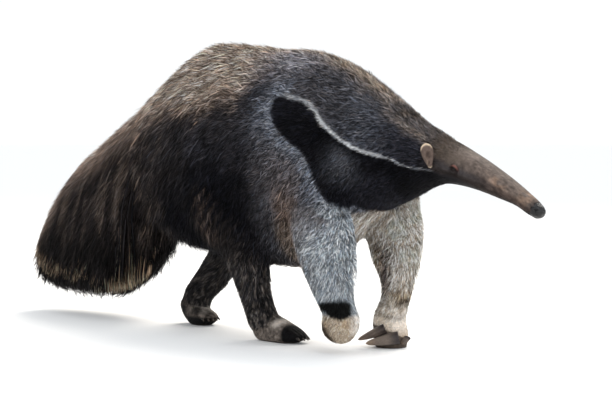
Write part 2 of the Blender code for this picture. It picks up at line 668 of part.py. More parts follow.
for stations, side, tag in ((HINDFOOT_RIGHT, -1, "R"), (HINDFOOT_LEFT, 1, "L")):
    before, end = stations[-2][1], stations[-1][1]
    along = Vector((end[0] - before[0], side * (end[1] - before[1]), 0.0)).normalized()
    across = Vector((-along.y, along.x, 0.0))
    middle = Vector((end[0], side * end[1], end[2]))
    for i, shift in enumerate(HIND_CLAW_SPREAD):
        back = 0.010 * (shift / 0.022) ** 2
        root_at = middle + across * shift + along * (0.000 - back)
        tip_at = root_at + along * HIND_CLAW_LENGTH + Vector((0, 0, -0.006)) + across * shift * 0.12
        bend = (root_at, (root_at + tip_at) / 2 + Vector((0, 0, 0.004)), tip_at)
        name = "claw_foot_" + tag + "_" + str(i + 1)
        seat(claw(name, bend, HIND_CLAW_ROOT, HIND_CLAW_TIP, 3, 1), "hind_foot_" + tag)
for foot in ("hand_R", "hand_L", "hind_foot_R", "hind_foot_L"):
    tidy(pieces[foot], 0.0001)
    tidy(pieces[foot], 0.0001)
    largest(pieces[foot])

# ------------------------------------------------------------- finishing
LOOKS = {
    "coat_black": ((0.022, 0.020, 0.022), 0.75, ("tail_end", "tail_middle", "tail_root", "thigh_R", "thigh_L", "shank_R", "shank_L")),
    "coat_dark": ((0.030, 0.028, 0.031), 0.75, ("neck",)),
    "coat_grey": ((0.075, 0.070, 0.070), 0.75, ("trunk",)),
    "coat_brown": ((0.105, 0.088, 0.078), 0.70, ("head",)),
    "coat_snout": ((0.135, 0.112, 0.100), 0.65, ("snout",)),
    "coat_pale": ((0.330, 0.320, 0.305), 0.75, ("upper_arm_R", "upper_arm_L", "forearm_R", "forearm_L")),
    "coat_cream": ((0.360, 0.290, 0.215), 0.70, ("hand_R", "hand_L")),
    "skin_foot": ((0.025, 0.022, 0.022), 0.60, ("hind_foot_R", "hind_foot_L")),
    "skin_nose": ((0.012, 0.011, 0.012), 0.40, ("nose",)),
    "ear": ((0.330, 0.270, 0.215), 0.65, ("ear_R", "ear_L")),
    "eye": ((0.010, 0.007, 0.006), 0.12, ("eye_R", "eye_L")),
    "horn": ((0.130, 0.100, 0.080), 0.45, tuple(n for n in pieces if n.startswith("claw_hand"))),
    "horn_dark": ((0.030, 0.026, 0.024), 0.45, tuple(n for n in pieces if n.startswith("claw_foot"))),
}
for look, (colour, roughness, names) in LOOKS.items():
    made = material(look, colour, roughness)
    for name in names:
        with_material(pieces[name], made)

low = [min(v.co[k] for o in pieces.values() for v in o.data.vertices) for k in range(3)]
high = [max(v.co[k] for o in pieces.values() for v in o.data.vertices) for k in range(3)]
middle = Vector((-(low[0] + high[0]) / 2, -(low[1] + high[1]) / 2, -low[2]))
for piece in pieces.values():
    piece.data.transform(Matrix.Translation(middle))

for form in FORMS.objects:
    form.hide_render = True
    form.display_type = "WIRE"
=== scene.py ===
"""Looks of a life-size giant anteater: skin, coat, eyes, ears, claws and nose.

Lengths are in metres.  The animal is first set out in the frame of its own
sketch, with the withers near x = 0, and then moved by SHIFT into the frame of
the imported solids.
"""
import math

import bmesh
import bpy
import numpy as np
from mathutils import Matrix, Vector
from mathutils.bvhtree import BVHTree


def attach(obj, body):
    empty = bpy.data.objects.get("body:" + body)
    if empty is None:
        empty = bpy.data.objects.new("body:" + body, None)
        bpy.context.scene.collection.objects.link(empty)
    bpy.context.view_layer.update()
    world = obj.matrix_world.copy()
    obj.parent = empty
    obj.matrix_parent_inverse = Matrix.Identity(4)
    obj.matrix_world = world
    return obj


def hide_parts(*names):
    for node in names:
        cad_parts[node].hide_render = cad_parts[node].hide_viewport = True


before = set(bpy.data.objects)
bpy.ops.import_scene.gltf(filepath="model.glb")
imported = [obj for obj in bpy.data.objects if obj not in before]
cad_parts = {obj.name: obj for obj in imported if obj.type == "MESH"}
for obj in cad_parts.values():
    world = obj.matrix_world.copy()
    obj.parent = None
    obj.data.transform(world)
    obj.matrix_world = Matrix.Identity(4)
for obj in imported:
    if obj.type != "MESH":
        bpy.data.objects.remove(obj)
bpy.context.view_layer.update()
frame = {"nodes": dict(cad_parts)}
SHIFT = np.array((0.262839, -0.002258, 0.0))
RNG = np.random.default_rng(20)

# ---------------------------------------------------------------- outline
# Stations of the outer outline, from the root of the tail to the nose: the back
# point (x, z), the belly point (x, z), the half width, the level of the widest
# place, the sharpness above and below, then the depth of the coat at the back,
# at the belly and at the side.
BODY = (
    ((-0.655, 0.520), (-0.625, 0.350), 0.058, 0.50, 2.00, 2.0, 0.024, 0.045, 0.020),
    ((-0.596, 0.575), (-0.585, 0.262), 0.100, 0.50, 1.70, 2.0, 0.032, 0.036, 0.026),
    ((-0.500, 0.637), (-0.490, 0.205), 0.138, 0.48, 1.65, 2.1, 0.038, 0.032, 0.028),
    ((-0.400, 0.680), (-0.370, 0.190), 0.151, 0.46, 1.65, 2.2, 0.042, 0.034, 0.027),
    ((-0.290, 0.676), (-0.270, 0.178), 0.156, 0.46, 1.68, 2.3, 0.044, 0.036, 0.026),
    ((-0.170, 0.663), (-0.165, 0.170), 0.156, 0.46, 1.70, 2.3, 0.043, 0.038, 0.025),
    ((-0.060, 0.655), (-0.050, 0.178), 0.152, 0.48, 1.75, 2.3, 0.040, 0.034, 0.023),
    ((0.035, 0.626), (0.020, 0.228), 0.146, 0.50, 1.80, 2.2, 0.036, 0.022, 0.020),
    ((0.108, 0.585), (0.088, 0.284), 0.132, 0.50, 1.85, 2.1, 0.030, 0.015, 0.017),
    ((0.176, 0.543), (0.154, 0.309), 0.108, 0.50, 1.90, 2.0, 0.024, 0.011, 0.014),
    ((0.244, 0.500), (0.218, 0.331), 0.084, 0.50, 1.90, 2.0, 0.017, 0.009, 0.011),
    ((0.300, 0.473), (0.272, 0.354), 0.067, 0.50, 2.00, 2.0, 0.011, 0.006, 0.0075),
    ((0.346, 0.452), (0.322, 0.365), 0.056, 0.48, 2.00, 2.0, 0.0055, 0.004, 0.0042),
    ((0.394, 0.428), (0.374, 0.360), 0.0455, 0.46, 2.10, 2.0, 0.0028, 0.0026, 0.0024),
    ((0.438, 0.405), (0.416, 0.351), 0.0365, 0.48, 2.10, 2.0, 0.0020, 0.0020, 0.0018),
    ((0.482, 0.380), (0.461, 0.338), 0.0290, 0.50, 2.10, 2.0, 0.0016, 0.0016, 0.0015),
    ((0.518, 0.357), (0.501, 0.326), 0.0240, 0.50, 2.10, 2.1, 0.0012, 0.0012, 0.0012),
    ((0.541, 0.343), (0.526, 0.311), 0.0210, 0.50, 2.10, 2.2, 0.0005, 0.0008, 0.0006),
    ((0.553, 0.334), (0.541, 0.3045), 0.0165, 0.50, 2.10, 2.2, 0.0003, 0.0003, 0.0003),
)
# The tail's outline, out to the ends of its hair, without depths.
TAIL = (
    ((-0.560, 0.575), (-0.530, 0.330), 0.070, 0.55, 1.90, 2.0),
    ((-0.640, 0.545), (-0.595, 0.170), 0.084, 0.50, 1.80, 2.1),
    ((-0.735, 0.495), (-0.675, 0.105), 0.096, 0.48, 1.75, 2.1),
    ((-0.830, 0.440), (-0.770, 0.060), 0.100, 0.46, 1.75, 2.1),
    ((-0.915, 0.392), (-0.868, 0.052), 0.094, 0.46, 1.75, 2.1),
    ((-0.990, 0.320), (-0.962, 0.058), 0.082, 0.46, 1.80, 2.1),
    ((-1.052, 0.245), (-1.034, 0.066), 0.062, 0.48, 1.80, 2.0),
    ((-1.088, 0.182), (-1.080, 0.092), 0.036, 0.50, 2.00, 2.0),
)
# The tail itself, under its hair: top and underside (x, z), half width, then as above.
TAIL_CORE = (
    ((-0.555, 0.540), (-0.535, 0.385), 0.050, 0.50, 2.00, 2.0),
    ((-0.640, 0.505), (-0.610, 0.400), 0.041, 0.50, 2.00, 2.0),
    ((-0.735, 0.452), (-0.705, 0.368), 0.034, 0.50, 2.00, 2.0),
    ((-0.830, 0.392), (-0.800, 0.325), 0.028, 0.50, 2.00, 2.0),
    ((-0.910, 0.338), (-0.885, 0.282), 0.024, 0.50, 2.00, 2.0),
    ((-0.972, 0.280), (-0.950, 0.236), 0.020, 0.50, 2.00, 2.0),
    ((-1.018, 0.222), (-1.000, 0.190), 0.015, 0.50, 2.00, 2.0),
    ((-1.044, 0.178), (-1.034, 0.160), 0.009, 0.50, 2.00, 2.0),
)
# Legs: the centre (x, out from the midline, z), half depths forward and back, half
# widths outward and inward, then the depth of the coat on those four sides.
FORELEG_RIGHT = (
    ((0.030, 0.075, 0.440), 0.075, 0.085, 0.062, 0.050, 0.016, 0.022, 0.016, 0.014),
    ((0.048, 0.100, 0.340), 0.074, 0.088, 0.062, 0.050, 0.013, 0.028, 0.013, 0.011),
    ((0.066, 0.110, 0.265), 0.068, 0.082, 0.058, 0.050, 0.011, 0.029, 0.011, 0.010),
    ((0.081, 0.110, 0.200), 0.061, 0.068, 0.056, 0.050, 0.009, 0.024, 0.009, 0.009),
    ((0.087, 0.101, 0.145), 0.050, 0.054, 0.046, 0.043, 0.0075, 0.016, 0.007, 0.007),
    ((0.094, 0.093, 0.100), 0.041, 0.043, 0.038, 0.037, 0.0055, 0.008, 0.005, 0.005),
    ((0.097, 0.087, 0.072), 0.043, 0.046, 0.041, 0.040, 0.0035, 0.0035, 0.003, 0.003),
    ((0.090, 0.085, 0.0535), 0.038, 0.043, 0.039, 0.038, 0.0022, 0.0022, 0.0022, 0.0022),
)
FORELEG_LEFT = (
    ((0.030, 0.075, 0.440), 0.075, 0.085, 0.062, 0.050, 0.016, 0.022, 0.016, 0.014),
    ((0.048, 0.102, 0.340), 0.080, 0.082, 0.066, 0.056, 0.013, 0.024, 0.013, 0.011),
    ((0.062, 0.114, 0.262), 0.068, 0.072, 0.060, 0.056, 0.011, 0.022, 0.011, 0.010),
    ((0.073, 0.112, 0.200), 0.057, 0.059, 0.053, 0.051, 0.009, 0.018, 0.009, 0.009),
    ((0.086, 0.104, 0.143), 0.042, 0.043, 0.039, 0.039, 0.007, 0.012, 0.007, 0.007),
    ((0.086, 0.094, 0.100), 0.036, 0.037, 0.034, 0.034, 0.005, 0.007, 0.005, 0.005),
    ((0.078, 0.086, 0.060), 0.039, 0.040, 0.037, 0.037, 0.0035, 0.0035, 0.003, 0.003),
    ((0.082, 0.082, 0.024), 0.044, 0.038, 0.040, 0.037, 0.002, 0.002, 0.002, 0.002),
    ((0.084, 0.080, -0.016), 0.036, 0.029, 0.032, 0.030, 0.001, 0.001, 0.001, 0.001),
)
HINDLEG_RIGHT = (
    ((-0.360, 0.075, 0.430), 0.100, 0.100, 0.070, 0.050, 0.020, 0.020, 0.020, 0.016),
    ((-0.295, 0.090, 0.345), 0.105, 0.110, 0.070, 0.050, 0.022, 0.026, 0.018, 0.013),
    ((-0.213, 0.098, 0.262), 0.083, 0.092, 0.058, 0.046, 0.020, 0.026, 0.014, 0.011),
    ((-0.184, 0.098, 0.190), 0.057, 0.060, 0.046, 0.043, 0.014, 0.018, 0.010, 0.009),
    ((-0.180, 0.086, 0.135), 0.044, 0.046, 0.040, 0.038, 0.009, 0.011, 0.007, 0.007),
    ((-0.189, 0.062, 0.085), 0.040, 0.041, 0.037, 0.036, 0.006, 0.006, 0.005, 0.005),
    ((-0.190, 0.046, 0.045), 0.044, 0.040, 0.034, 0.034, 0.003, 0.003, 0.003, 0.003),
)
HINDLEG_LEFT = (
    ((-0.400, 0.075, 0.430), 0.100, 0.100, 0.070, 0.050, 0.020, 0.020, 0.020, 0.016),
    ((-0.405, 0.090, 0.345), 0.095, 0.095, 0.066, 0.050, 0.022, 0.022, 0.018, 0.013),
    ((-0.425, 0.100, 0.262), 0.078, 0.076, 0.056, 0.048, 0.020, 0.020, 0.014, 0.011),
    ((-0.462, 0.102, 0.190), 0.060, 0.062, 0.048, 0.044, 0.014, 0.015, 0.010, 0.009),
    ((-0.510, 0.087, 0.125), 0.050, 0.050, 0.042, 0.040, 0.009, 0.010, 0.007, 0.007),
    ((-0.540, 0.067, 0.078), 0.043, 0.044, 0.037, 0.036, 0.006, 0.006, 0.005, 0.005),
    ((-0.543, 0.056, 0.045), 0.038, 0.038, 0.034, 0.034, 0.003, 0.003, 0.003, 0.003),
)
HINDFOOT_RIGHT = (
    ((-0.197, 0.040, 0.034), 0.030, 0.038, 0.030, 0.030, 0.003, 0.001, 0.002, 0.002),
    ((-0.158, 0.037, 0.030), 0.031, 0.037, 0.033, 0.033, 0.003, 0.001, 0.002, 0.002),
    ((-0.126, 0.031, 0.022), 0.025, 0.031, 0.035, 0.035, 0.0025, 0.001, 0.002, 0.002),
    ((-0.101, 0.025, 0.017), 0.017, 0.019, 0.033, 0.033, 0.002, 0.001, 0.0015, 0.0015),
    ((-0.089, 0.021, 0.015), 0.010, 0.010, 0.026, 0.026, 0.001, 0.001, 0.001, 0.001),
)
HINDFOOT_LEFT = (
    ((-0.560, 0.055, 0.052), 0.030, 0.030, 0.030, 0.030, 0.003, 0.001, 0.002, 0.002),
    ((-0.546, 0.054, 0.036), 0.030, 0.032, 0.032, 0.032, 0.003, 0.001, 0.002, 0.002),
    ((-0.520, 0.052, 0.022), 0.027, 0.032, 0.034, 0.034, 0.0025, 0.001, 0.002, 0.002),
    ((-0.494, 0.050, 0.020), 0.020, 0.023, 0.032, 0.032, 0.002, 0.001, 0.0015, 0.0015),
    ((-0.480, 0.048, 0.020), 0.013, 0.013, 0.026, 0.026, 0.001, 0.001, 0.001, 0.001),
)
LIMBS = (
    ("fore_R", FORELEG_RIGHT, -1, (1.0, 0.0, 0.0), 0.8),
    ("fore_L", FORELEG_LEFT, 1, (1.0, 0.0, 0.0), 0.8),
    ("hind_R", HINDLEG_RIGHT, -1, (1.0, 0.0, 0.0), 0.8),
    ("hind_L", HINDLEG_LEFT, 1, (1.0, 0.0, 0.0), 0.8),
    ("foot_R", HINDFOOT_RIGHT, -1, (0.0, 0.0, 1.0), 0.7),
    ("foot_L", HINDFOOT_LEFT, 1, (0.0, 0.0, 1.0), 0.7),
)


def spline(values, n):
    """Rows of numbers passed through smoothly, n steps to a span."""
    v = np.asarray(values, float)
    dist = np.linalg.norm(np.diff(v[:, :3], axis=0), axis=1)
    knots = np.concatenate([[0.0], np.cumsum(np.sqrt(dist + 1e-9))])
    slope = np.zeros_like(v)
    slope[1:-1] = (v[2:] - v[:-2]) / (knots[2:] - knots[:-2])[:, None]
    slope[0] = (v[1] - v[0]) / (knots[1] - knots[0])
    slope[-1] = (v[-1] - v[-2]) / (knots[-1] - knots[-2])
    rows = []
    for i in range(len(v) - 1):
        step = knots[i + 1] - knots[i]
        for t in np.arange(n) / n:
            a = 2 * t**3 - 3 * t**2 + 1
            b = t**3 - 2 * t**2 + t
            c = -2 * t**3 + 3 * t**2
            d = t**3 - t**2
            rows.append(a * v[i] + b * step * slope[i] + c * v[i + 1] + d * step * slope[i + 1])
    rows.append(v[-1])
    return np.array(rows)


class Form:
    """A loft: rows of centre, four half sizes and sharpness, with a frame to each."""

    def __init__(self, name, rows, frames, side, cap, around):
        self.name, self.rows, self.frames = name, rows, frames
        self.side, self.cap, self.around = side, cap, around

    def section(self, centre, sizes, sharp, frame):
        t = 2 * math.pi * np.arange(self.around) / self.around
        c, s = np.cos(t), np.sin(t)
        e = np.where(c >= 0, sharp[0], sharp[1])
        ca = np.sign(c) * np.abs(c) ** (2 / e) * np.where(c >= 0, sizes[0], sizes[1])
        sb = np.sign(s) * np.abs(s) ** (2 / e) * np.where(s >= 0, sizes[2], sizes[3])
        return centre + ca[:, None] * frame[0] + sb[:, None] * frame[1]

    def mesh(self):
        """Corners and faces of the closed shell, ends drawn in."""
        rows, frames, rings = self.rows, self.frames, []
        first, last = rows[0], rows[-1]
        for share in (0.35, 0.72, 0.93):
            back = first[:3] - frames[0][2] * self.cap * math.sqrt(1 - share**2) * first[3:7].mean()
            rings.append(self.section(back, first[3:7] * share, first[7:9], frames[0]))
        for row, f in zip(rows, frames):
            rings.append(self.section(row[:3], row[3:7], row[7:9], f))
        for share in (0.93, 0.72, 0.35):
            on = last[:3] + frames[-1][2] * self.cap * math.sqrt(1 - share**2) * last[3:7].mean()
            rings.append(self.section(on, last[3:7] * share, last[7:9], frames[-1]))
        tips = (
            first[:3] - frames[0][2] * self.cap * 1.02 * first[3:7].mean(),
            last[:3] + frames[-1][2] * self.cap * 1.02 * last[3:7].mean(),
        )
        n = self.around
        points = np.vstack(rings + [tips])
        points[:, 1] *= self.side
        faces = []
        for r in range(len(rings) - 1):
            for k in range(n):
                j = (k + 1) % n
                faces.append((r * n + k, r * n + j, (r + 1) * n + j, (r + 1) * n + k))
        low, high, base = len(rings) * n, len(rings) * n + 1, (len(rings) - 1) * n
        for k in range(n):
            j = (k + 1) % n
            faces.append((j, k, low))
            faces.append((base + k, base + j, high))
        return points, faces

    def nearness(self, points):
        """For each point: how far out in the form it lies (1 at its surface) and the
        row that it lies beside."""
        p = points.copy()
        p[:, 1] *= self.side
        centres = self.rows[:, :3]
        best = np.full(len(p), 1e9)
        row_of = np.zeros(len(p), int)
        for i, (row, f) in enumerate(zip(self.rows, self.frames)):
            d = p - row[:3]
            a, b, along = d @ f[0], d @ f[1], d @ f[2]
            a = a / np.where(a >= 0, row[3], row[4])
            b = b / np.where(b >= 0, row[5], row[6])
            reach = 0.5 * (row[3] + row[4]) * 0.55
            score = np.sqrt(a * a + b * b) + np.abs(along) / max(reach, 0.012)
            closer = score < best
            best[closer] = score[closer]
            row_of[closer] = i
        return best, row_of


def body_form(name, stations, depth, steps, around, cap):
    values = []
    for (xt, zt), (xb, zb), half, wide, e_up, e_down, *coat in stations:
        top, low = np.array((xt, 0.0, zt)), np.array((xb, 0.0, zb))
        centre = low + wide * (top - low)
        height = np.linalg.norm(top - low)
        up, down = height * (1 - wide), height * wide
        if depth and coat:
            up, down, half = up - coat[0] * depth, down - coat[1] * depth, half - coat[2] * depth
        values.append([*centre, up, down, half, half, e_up, e_down, math.atan2(xt - xb, zt - zb)])
    rows = spline(values, steps)
    left = np.array((0.0, 1.0, 0.0))
    frames = []
    for row in rows:
        up = np.array((math.sin(row[9]), 0.0, math.cos(row[9])))
        frames.append((up, left, np.cross(left, up)))
    return Form(name, rows, frames, 1, cap, around)


def limb_form(name, stations, side, hint, depth, steps, around, cap):
    values = []
    for (x, out, z), *sizes in stations:
        s, coat = np.array(sizes[:4]), np.array(sizes[4:])
        values.append([x, out, z, *(s - coat * depth), 2.1, 2.1])
    rows = spline(values, steps)
    frames = []
    for i in range(len(rows)):
        along = rows[min(i + 1, len(rows) - 1)][:3] - rows[max(i - 1, 0)][:3]
        along /= np.linalg.norm(along)
        a_axis = np.array(hint) - along * np.dot(hint, along)
        a_axis /= np.linalg.norm(a_axis)
        outward = np.cross(a_axis, along)
        if outward[1] < 0:
            outward = -outward
        frames.append((a_axis, outward, along))
    return Form(name, rows, frames, side, cap, around)


def forms(depth):
    made = [body_form("body", BODY, depth, 6, 48, 0.8)]
    made.append(body_form("tail", TAIL_CORE if depth else TAIL, 0, 5, 32, 0.7))
    for name, stations, side, hint, cap in LIMBS:
        made.append(limb_form(name, stations, side, hint, depth, 5, 28, cap))
    return made


def link(obj):
    bpy.context.scene.collection.objects.link(obj)
    return obj


def mesh_object(name, points, faces):
    mesh = bpy.data.meshes.new(name)
    mesh.from_pydata([tuple(p) for p in points], [], faces)
    mesh.update()
    return link(bpy.data.objects.new(name, mesh))


def evaluated(obj):
    bpy.context.view_layer.update()
    graph = bpy.context.evaluated_depsgraph_get()
    return bpy.data.meshes.new_from_object(obj.evaluated_get(graph))


def blended(name, shapes, voxel, rounds):
    """One closed surface round the forms, softened where they meet."""
    points, faces, n = [], [], 0
    for shape in shapes:
        p, f = shape.mesh()
        points.append(p)
        faces += [tuple(i + n for i in face) for face in f]
        n += len(p)
    obj = mesh_object(name, np.vstack(points), faces)
    bm = bmesh.new()
    bm.from_mesh(obj.data)
    bmesh.ops.recalc_face_normals(bm, faces=bm.faces)
    bm.to_mesh(obj.data)
    bm.free()
    step = obj.modifiers.new("blend", "REMESH")
    step.mode = "VOXEL"
    step.voxel_size = voxel
    soft = obj.modifiers.new("soften", "SMOOTH")
    soft.factor = 0.5
    soft.iterations = rounds
    obj.data = evaluated(obj)
    obj.modifiers.clear()
    return obj


def corners(mesh):
    co = np.empty(len(mesh.vertices) * 3, np.float32)
    mesh.vertices.foreach_get("co", co)
    return co.reshape(-1, 3).astype(float)


def put_corners(mesh, co):
    mesh.vertices.foreach_set("co", np.asarray(co, np.float32).ravel())
    mesh.update()


def normals(mesh):
    no = np.empty(len(mesh.vertices) * 3, np.float32)
    mesh.vertices.foreach_get("normal", no)
    return no.reshape(-1, 3).astype(float)


def smooth(low, high, x):
    t = np.clip((x - low) / (high - low), 0.0, 1.0)
    return t * t * (3 - 2 * t)


def unit(v):
    return v / np.maximum(np.linalg.norm(v, axis=-1, keepdims=True), 1e-9)


def lattice(p, scale, seed):
    """Smooth noise from 0 to 1 on a lattice of the given cell size."""
    q = p / scale + seed * 17.17
    base = np.floor(q).astype(np.int64)
    f = q - base
    f = f * f * (3 - 2 * f)
    total = np.zeros(len(p))
    for dx in (0, 1):
        for dy in (0, 1):
            for dz in (0, 1):
                h = (
                    (base[:, 0] + dx) * 73856093
                    ^ (base[:, 1] + dy) * 19349663
                    ^ (base[:, 2] + dz) * 83492791
                    ^ (seed * 2654435761)
                ) & 0x7FFFFFFF
                h = (h * 1103515245 + 12345) & 0x7FFFFFFF
                value = ((h >> 8) & 0xFFFF) / 65535.0
                wx = f[:, 0] if dx else 1 - f[:, 0]
                wy = f[:, 1] if dy else 1 - f[:, 1]
                wz = f[:, 2] if dz else 1 - f[:, 2]
                total += value * wx * wy * wz
    return total


# ------------------------------------------------------------------- skin
EYE = np.array((0.3715, 0.0425, 0.3985))
EYE_RADIUS = 0.0075
EYE_OUT = unit(np.array((0.30, 0.93, 0.16)))      # the way the right-hand rule's left eye looks
EYE_SLIT = unit(np.array((0.86, -0.16, -0.50)))   # from its rear corner to its front one
HEAD_AXIS = unit(np.array((0.84, 0.0, -0.54)))
SOLE = 0.0008

skin = blended("skin", forms(1), 0.0060, 5)


def keep_largest(obj):
    bm = bmesh.new()
    bm.from_mesh(obj.data)
    seen, groups = set(), []
    for start in bm.verts:
        if start in seen:
            continue
        stack, group = [start], []
        seen.add(start)
        while stack:
            v = stack.pop()
            group.append(v)
            for e in v.link_edges:
                w = e.other_vert(v)
                if w not in seen:
                    seen.add(w)
                    stack.append(w)
        groups.append(group)
    groups.sort(key=len)
    for group in groups[:-1]:
        bmesh.ops.delete(bm, geom=group, context="VERTS")
    bm.to_mesh(obj.data)
    bm.free()


def refine(obj, chosen, rounds=2):
    """Halve the faces whose centre is chosen, and soften the new corners."""
    bm = bmesh.new()
    bm.from_mesh(obj.data)
    faces = [f for f in bm.faces if chosen(f.calc_center_median())]
    edges = list({e for f in faces for e in f.edges})
    inner = {v for f in faces for v in f.verts}
    bmesh.ops.subdivide_edges(bm, edges=edges, cuts=1, use_grid_fill=True)
    touched = [v for v in bm.verts if v in inner or any(chosen(f.calc_center_median()) for f in v.link_faces)]
    for _ in range(rounds):
        bmesh.ops.smooth_vert(
            bm, verts=touched, factor=0.5, use_axis_x=True, use_axis_y=True, use_axis_z=True
        )
    bmesh.ops.triangulate(bm, faces=[f for f in bm.faces if len(f.verts) > 4])
    bm.to_mesh(obj.data)
    bm.free()


def near_hand(c):
    return (c.z < 0.115 and 0.02 < c.x < 0.16) or (c.z < 0.065 and (-0.235 < c.x < -0.05 or c.x < -0.45)
                                                   and c.x > -0.62)


keep_largest(skin)
refine(skin, lambda c: c.x > 0.290)
refine(skin, lambda c: c.x > 0.345)
refine(skin, near_hand, 1)
refine(
    skin,
    lambda c: (c.x - EYE[0]) ** 2 + (abs(c.y) - EYE[1]) ** 2 + (c.z - EYE[2]) ** 2 < 0.016**2,
    1,
)


def sculpt(obj):
    """Lids, nostrils, mouth, knuckles and toes, moved out of the plain skin."""
    mesh = obj.data
    co = corners(mesh)
    no = normals(mesh)
    for side in (-1, 1):
        flip = np.array((1.0, side, 1.0))
        centre, out, slit = EYE * flip, EYE_OUT * flip, EYE_SLIT * flip
        slit = unit(slit - out * (slit @ out))
        up = np.cross(out, slit) * side
        if up[2] < 0:
            up = -up
        d = co - centre
        u, v, w = d @ slit, d @ up, d @ out
        r = np.hypot(u, v)
        near = (r < 0.020) & (w > -0.012)
        # How far the surface stands from the ball's middle along the way it looks.
        half = 0.0062
        arch = np.sqrt(np.clip(1 - (u / half) ** 2, 0, 1))
        top, low = 0.0026 * arch - 0.0002 * u / half, -0.0020 * arch
        ball = np.sqrt(np.clip(EYE_RADIUS**2 - r**2, 0, None))
        away = np.maximum(v - top, low - v)
        away = np.where(np.abs(u) > half, np.hypot(np.maximum(away, 0), np.abs(u) - half), away)
        opened = smooth(0.0004, -0.0006, away)
        lid = np.sqrt(np.clip((EYE_RADIUS + 0.0016) ** 2 - r**2, 0, None))
        lid = np.where(r < EYE_RADIUS + 0.0016, lid, 0.0)
        # A brow over the ball, a thin fold under it, and a hollow before its front corner.
        brow = 0.0024 * np.exp(-((v - 0.0075) / 0.0034) ** 2 - (u / 0.0085) ** 2)
        bag = 0.0009 * np.exp(-((v + 0.0058) / 0.0018) ** 2 - (u / 0.0070) ** 2)
        crease = -0.0010 * np.exp(-((v - 0.0050) / 0.0009) ** 2 - (u / 0.0070) ** 2)
        corner = -0.0012 * np.exp(-((u - 0.0088) / 0.0025) ** 2 - (v / 0.0020) ** 2)
        k = smooth(0.0125, 0.0080, r)
        target = np.maximum(w * (1 - k) + np.maximum(w, lid) * k, w * (1 - k) + lid * k)
        target = target + brow + bag + crease + corner
        inside = ball - 0.0016
        target = target * (1 - opened) + inside * opened
        move = np.where(near, (target - w) * smooth(0.020, 0.014, r), 0.0)
        co += out * move[:, None]
        # Nostril: a comma-shaped slit on the side of the nose.
        tip = np.array((0.5475, 0.0118 * side, 0.3235))
        d = co - tip
        a = d @ np.array((0.60, 0.0, 0.80))
        b = d @ np.array((0.80, 0.0, -0.60))
        bend = b - 260.0 * (a - 0.001) ** 2
        pit = np.exp(-(bend / 0.0016) ** 2 - (a / 0.0042) ** 2) * (np.abs(d[:, 1]) < 0.010)
        rim = np.exp(-((bend - 0.0030) / 0.0016) ** 2 - (a / 0.0055) ** 2) * (np.abs(d[:, 1]) < 0.010)
        co -= no * (0.0042 * pit - 0.0008 * rim)[:, None]
        # Mouth: a short line under the tip.
        level = 0.3100 - 0.50 * (co[:, 0] - 0.541)
        line = np.exp(-((co[:, 2] - level) / 0.0010) ** 2) * smooth(0.512, 0.522, co[:, 0])
        line *= (co[:, 1] * side > 0) * smooth(0.560, 0.552, co[:, 0])
        co -= no * (0.0013 * line)[:, None]
    # A groove down the front of the nose.
    groove = np.exp(-(co[:, 1] / 0.0010) ** 2) * smooth(0.549, 0.553, co[:, 0]) * (co[:, 2] < 0.328)
    co -= no * (0.0009 * groove)[:, None]
    # Toes of the hind feet: four clefts between five toes.
    for stations, side in ((HINDFOOT_RIGHT, -1), (HINDFOOT_LEFT, 1)):
        before, end = np.array(stations[-3][0]), np.array(stations[-1][0])
        before[1] *= side
        end[1] *= side
        along = unit((end - before) * np.array((1, 1, 0)))
        across = np.array((-along[1], along[0], 0.0))
        d = co - end
        u, v = d @ along, d @ across
        here = (np.abs(d[:, 2]) < 0.035) & (u > -0.030) & (u < 0.020) & (np.abs(v) < 0.045)
        cleft = sum(np.exp(-((v - c) / 0.0016) ** 2) for c in (-0.016, -0.0055, 0.0055, 0.016))
        co -= no * (here * cleft * 0.0026 * smooth(-0.026, -0.008, u))[:, None]
    # Folds over the wrist and the fingers of the fore feet.
    for stations, side in ((FORELEG_RIGHT, -1), (FORELEG_LEFT, 1)):
        near = (co[:, 1] * side > 0.03) & (co[:, 0] > 0.02) & (co[:, 0] < 0.16) & (co[:, 2] < 0.125)
        fold = np.exp(-((co[:, 2] - 0.088 - 0.010 * np.sin(co[:, 0] * 60)) / 0.0035) ** 2)
        co -= no * (near * fold * 0.0012)[:, None]
    co += no * (0.0014 * smooth(0.30, 0.33, co[:, 0]) * smooth(0.54, 0.50, co[:, 0]))[:, None]
    tip = smooth(0.525, 0.560, co[:, 0])
    co += tip[:, None] * np.array((0.0042, 0.0, -0.0040))
    low = co[:, 2] < SOLE
    co[low, 2] = SOLE
    put_corners(mesh, co)


sculpt(skin)
SKIN_CO = corners(skin.data)
SKIN_NO = normals(skin.data)

# The outline's surface, to measure the coat's depth against.
outer = blended("outline", forms(0), 0.007, 5)
keep_largest(outer)
outer_bm = bmesh.new()
outer_bm.from_mesh(outer.data)
# The long hair of the rump closes the fold before the tail.
fold = [v for v in outer_bm.verts if -0.68 < v.co.x < -0.40 and 0.10 < v.co.z < 0.42]
for _ in range(45):
    bmesh.ops.smooth_vert(outer_bm, verts=fold, factor=0.5, use_axis_x=True, use_axis_y=True, use_axis_z=True)
outer_bm.to_mesh(outer.data)
OUTER = BVHTree.FromBMesh(outer_bm)
outer_bm.free()
outer.data.calc_loop_triangles()
OUT_TRI = np.empty(len(outer.data.loop_triangles) * 3, np.int32)
outer.data.loop_triangles.foreach_get("vertices", OUT_TRI)
OUT_TRI = OUT_TRI.reshape(-1, 3)
OUT_CO, OUT_NO = corners(outer.data), normals(outer.data)
bpy.data.objects.remove(outer)


# ---------------------------------------------------------------- regions
FORMS = forms(1)
NAMES = [f.name for f in FORMS]


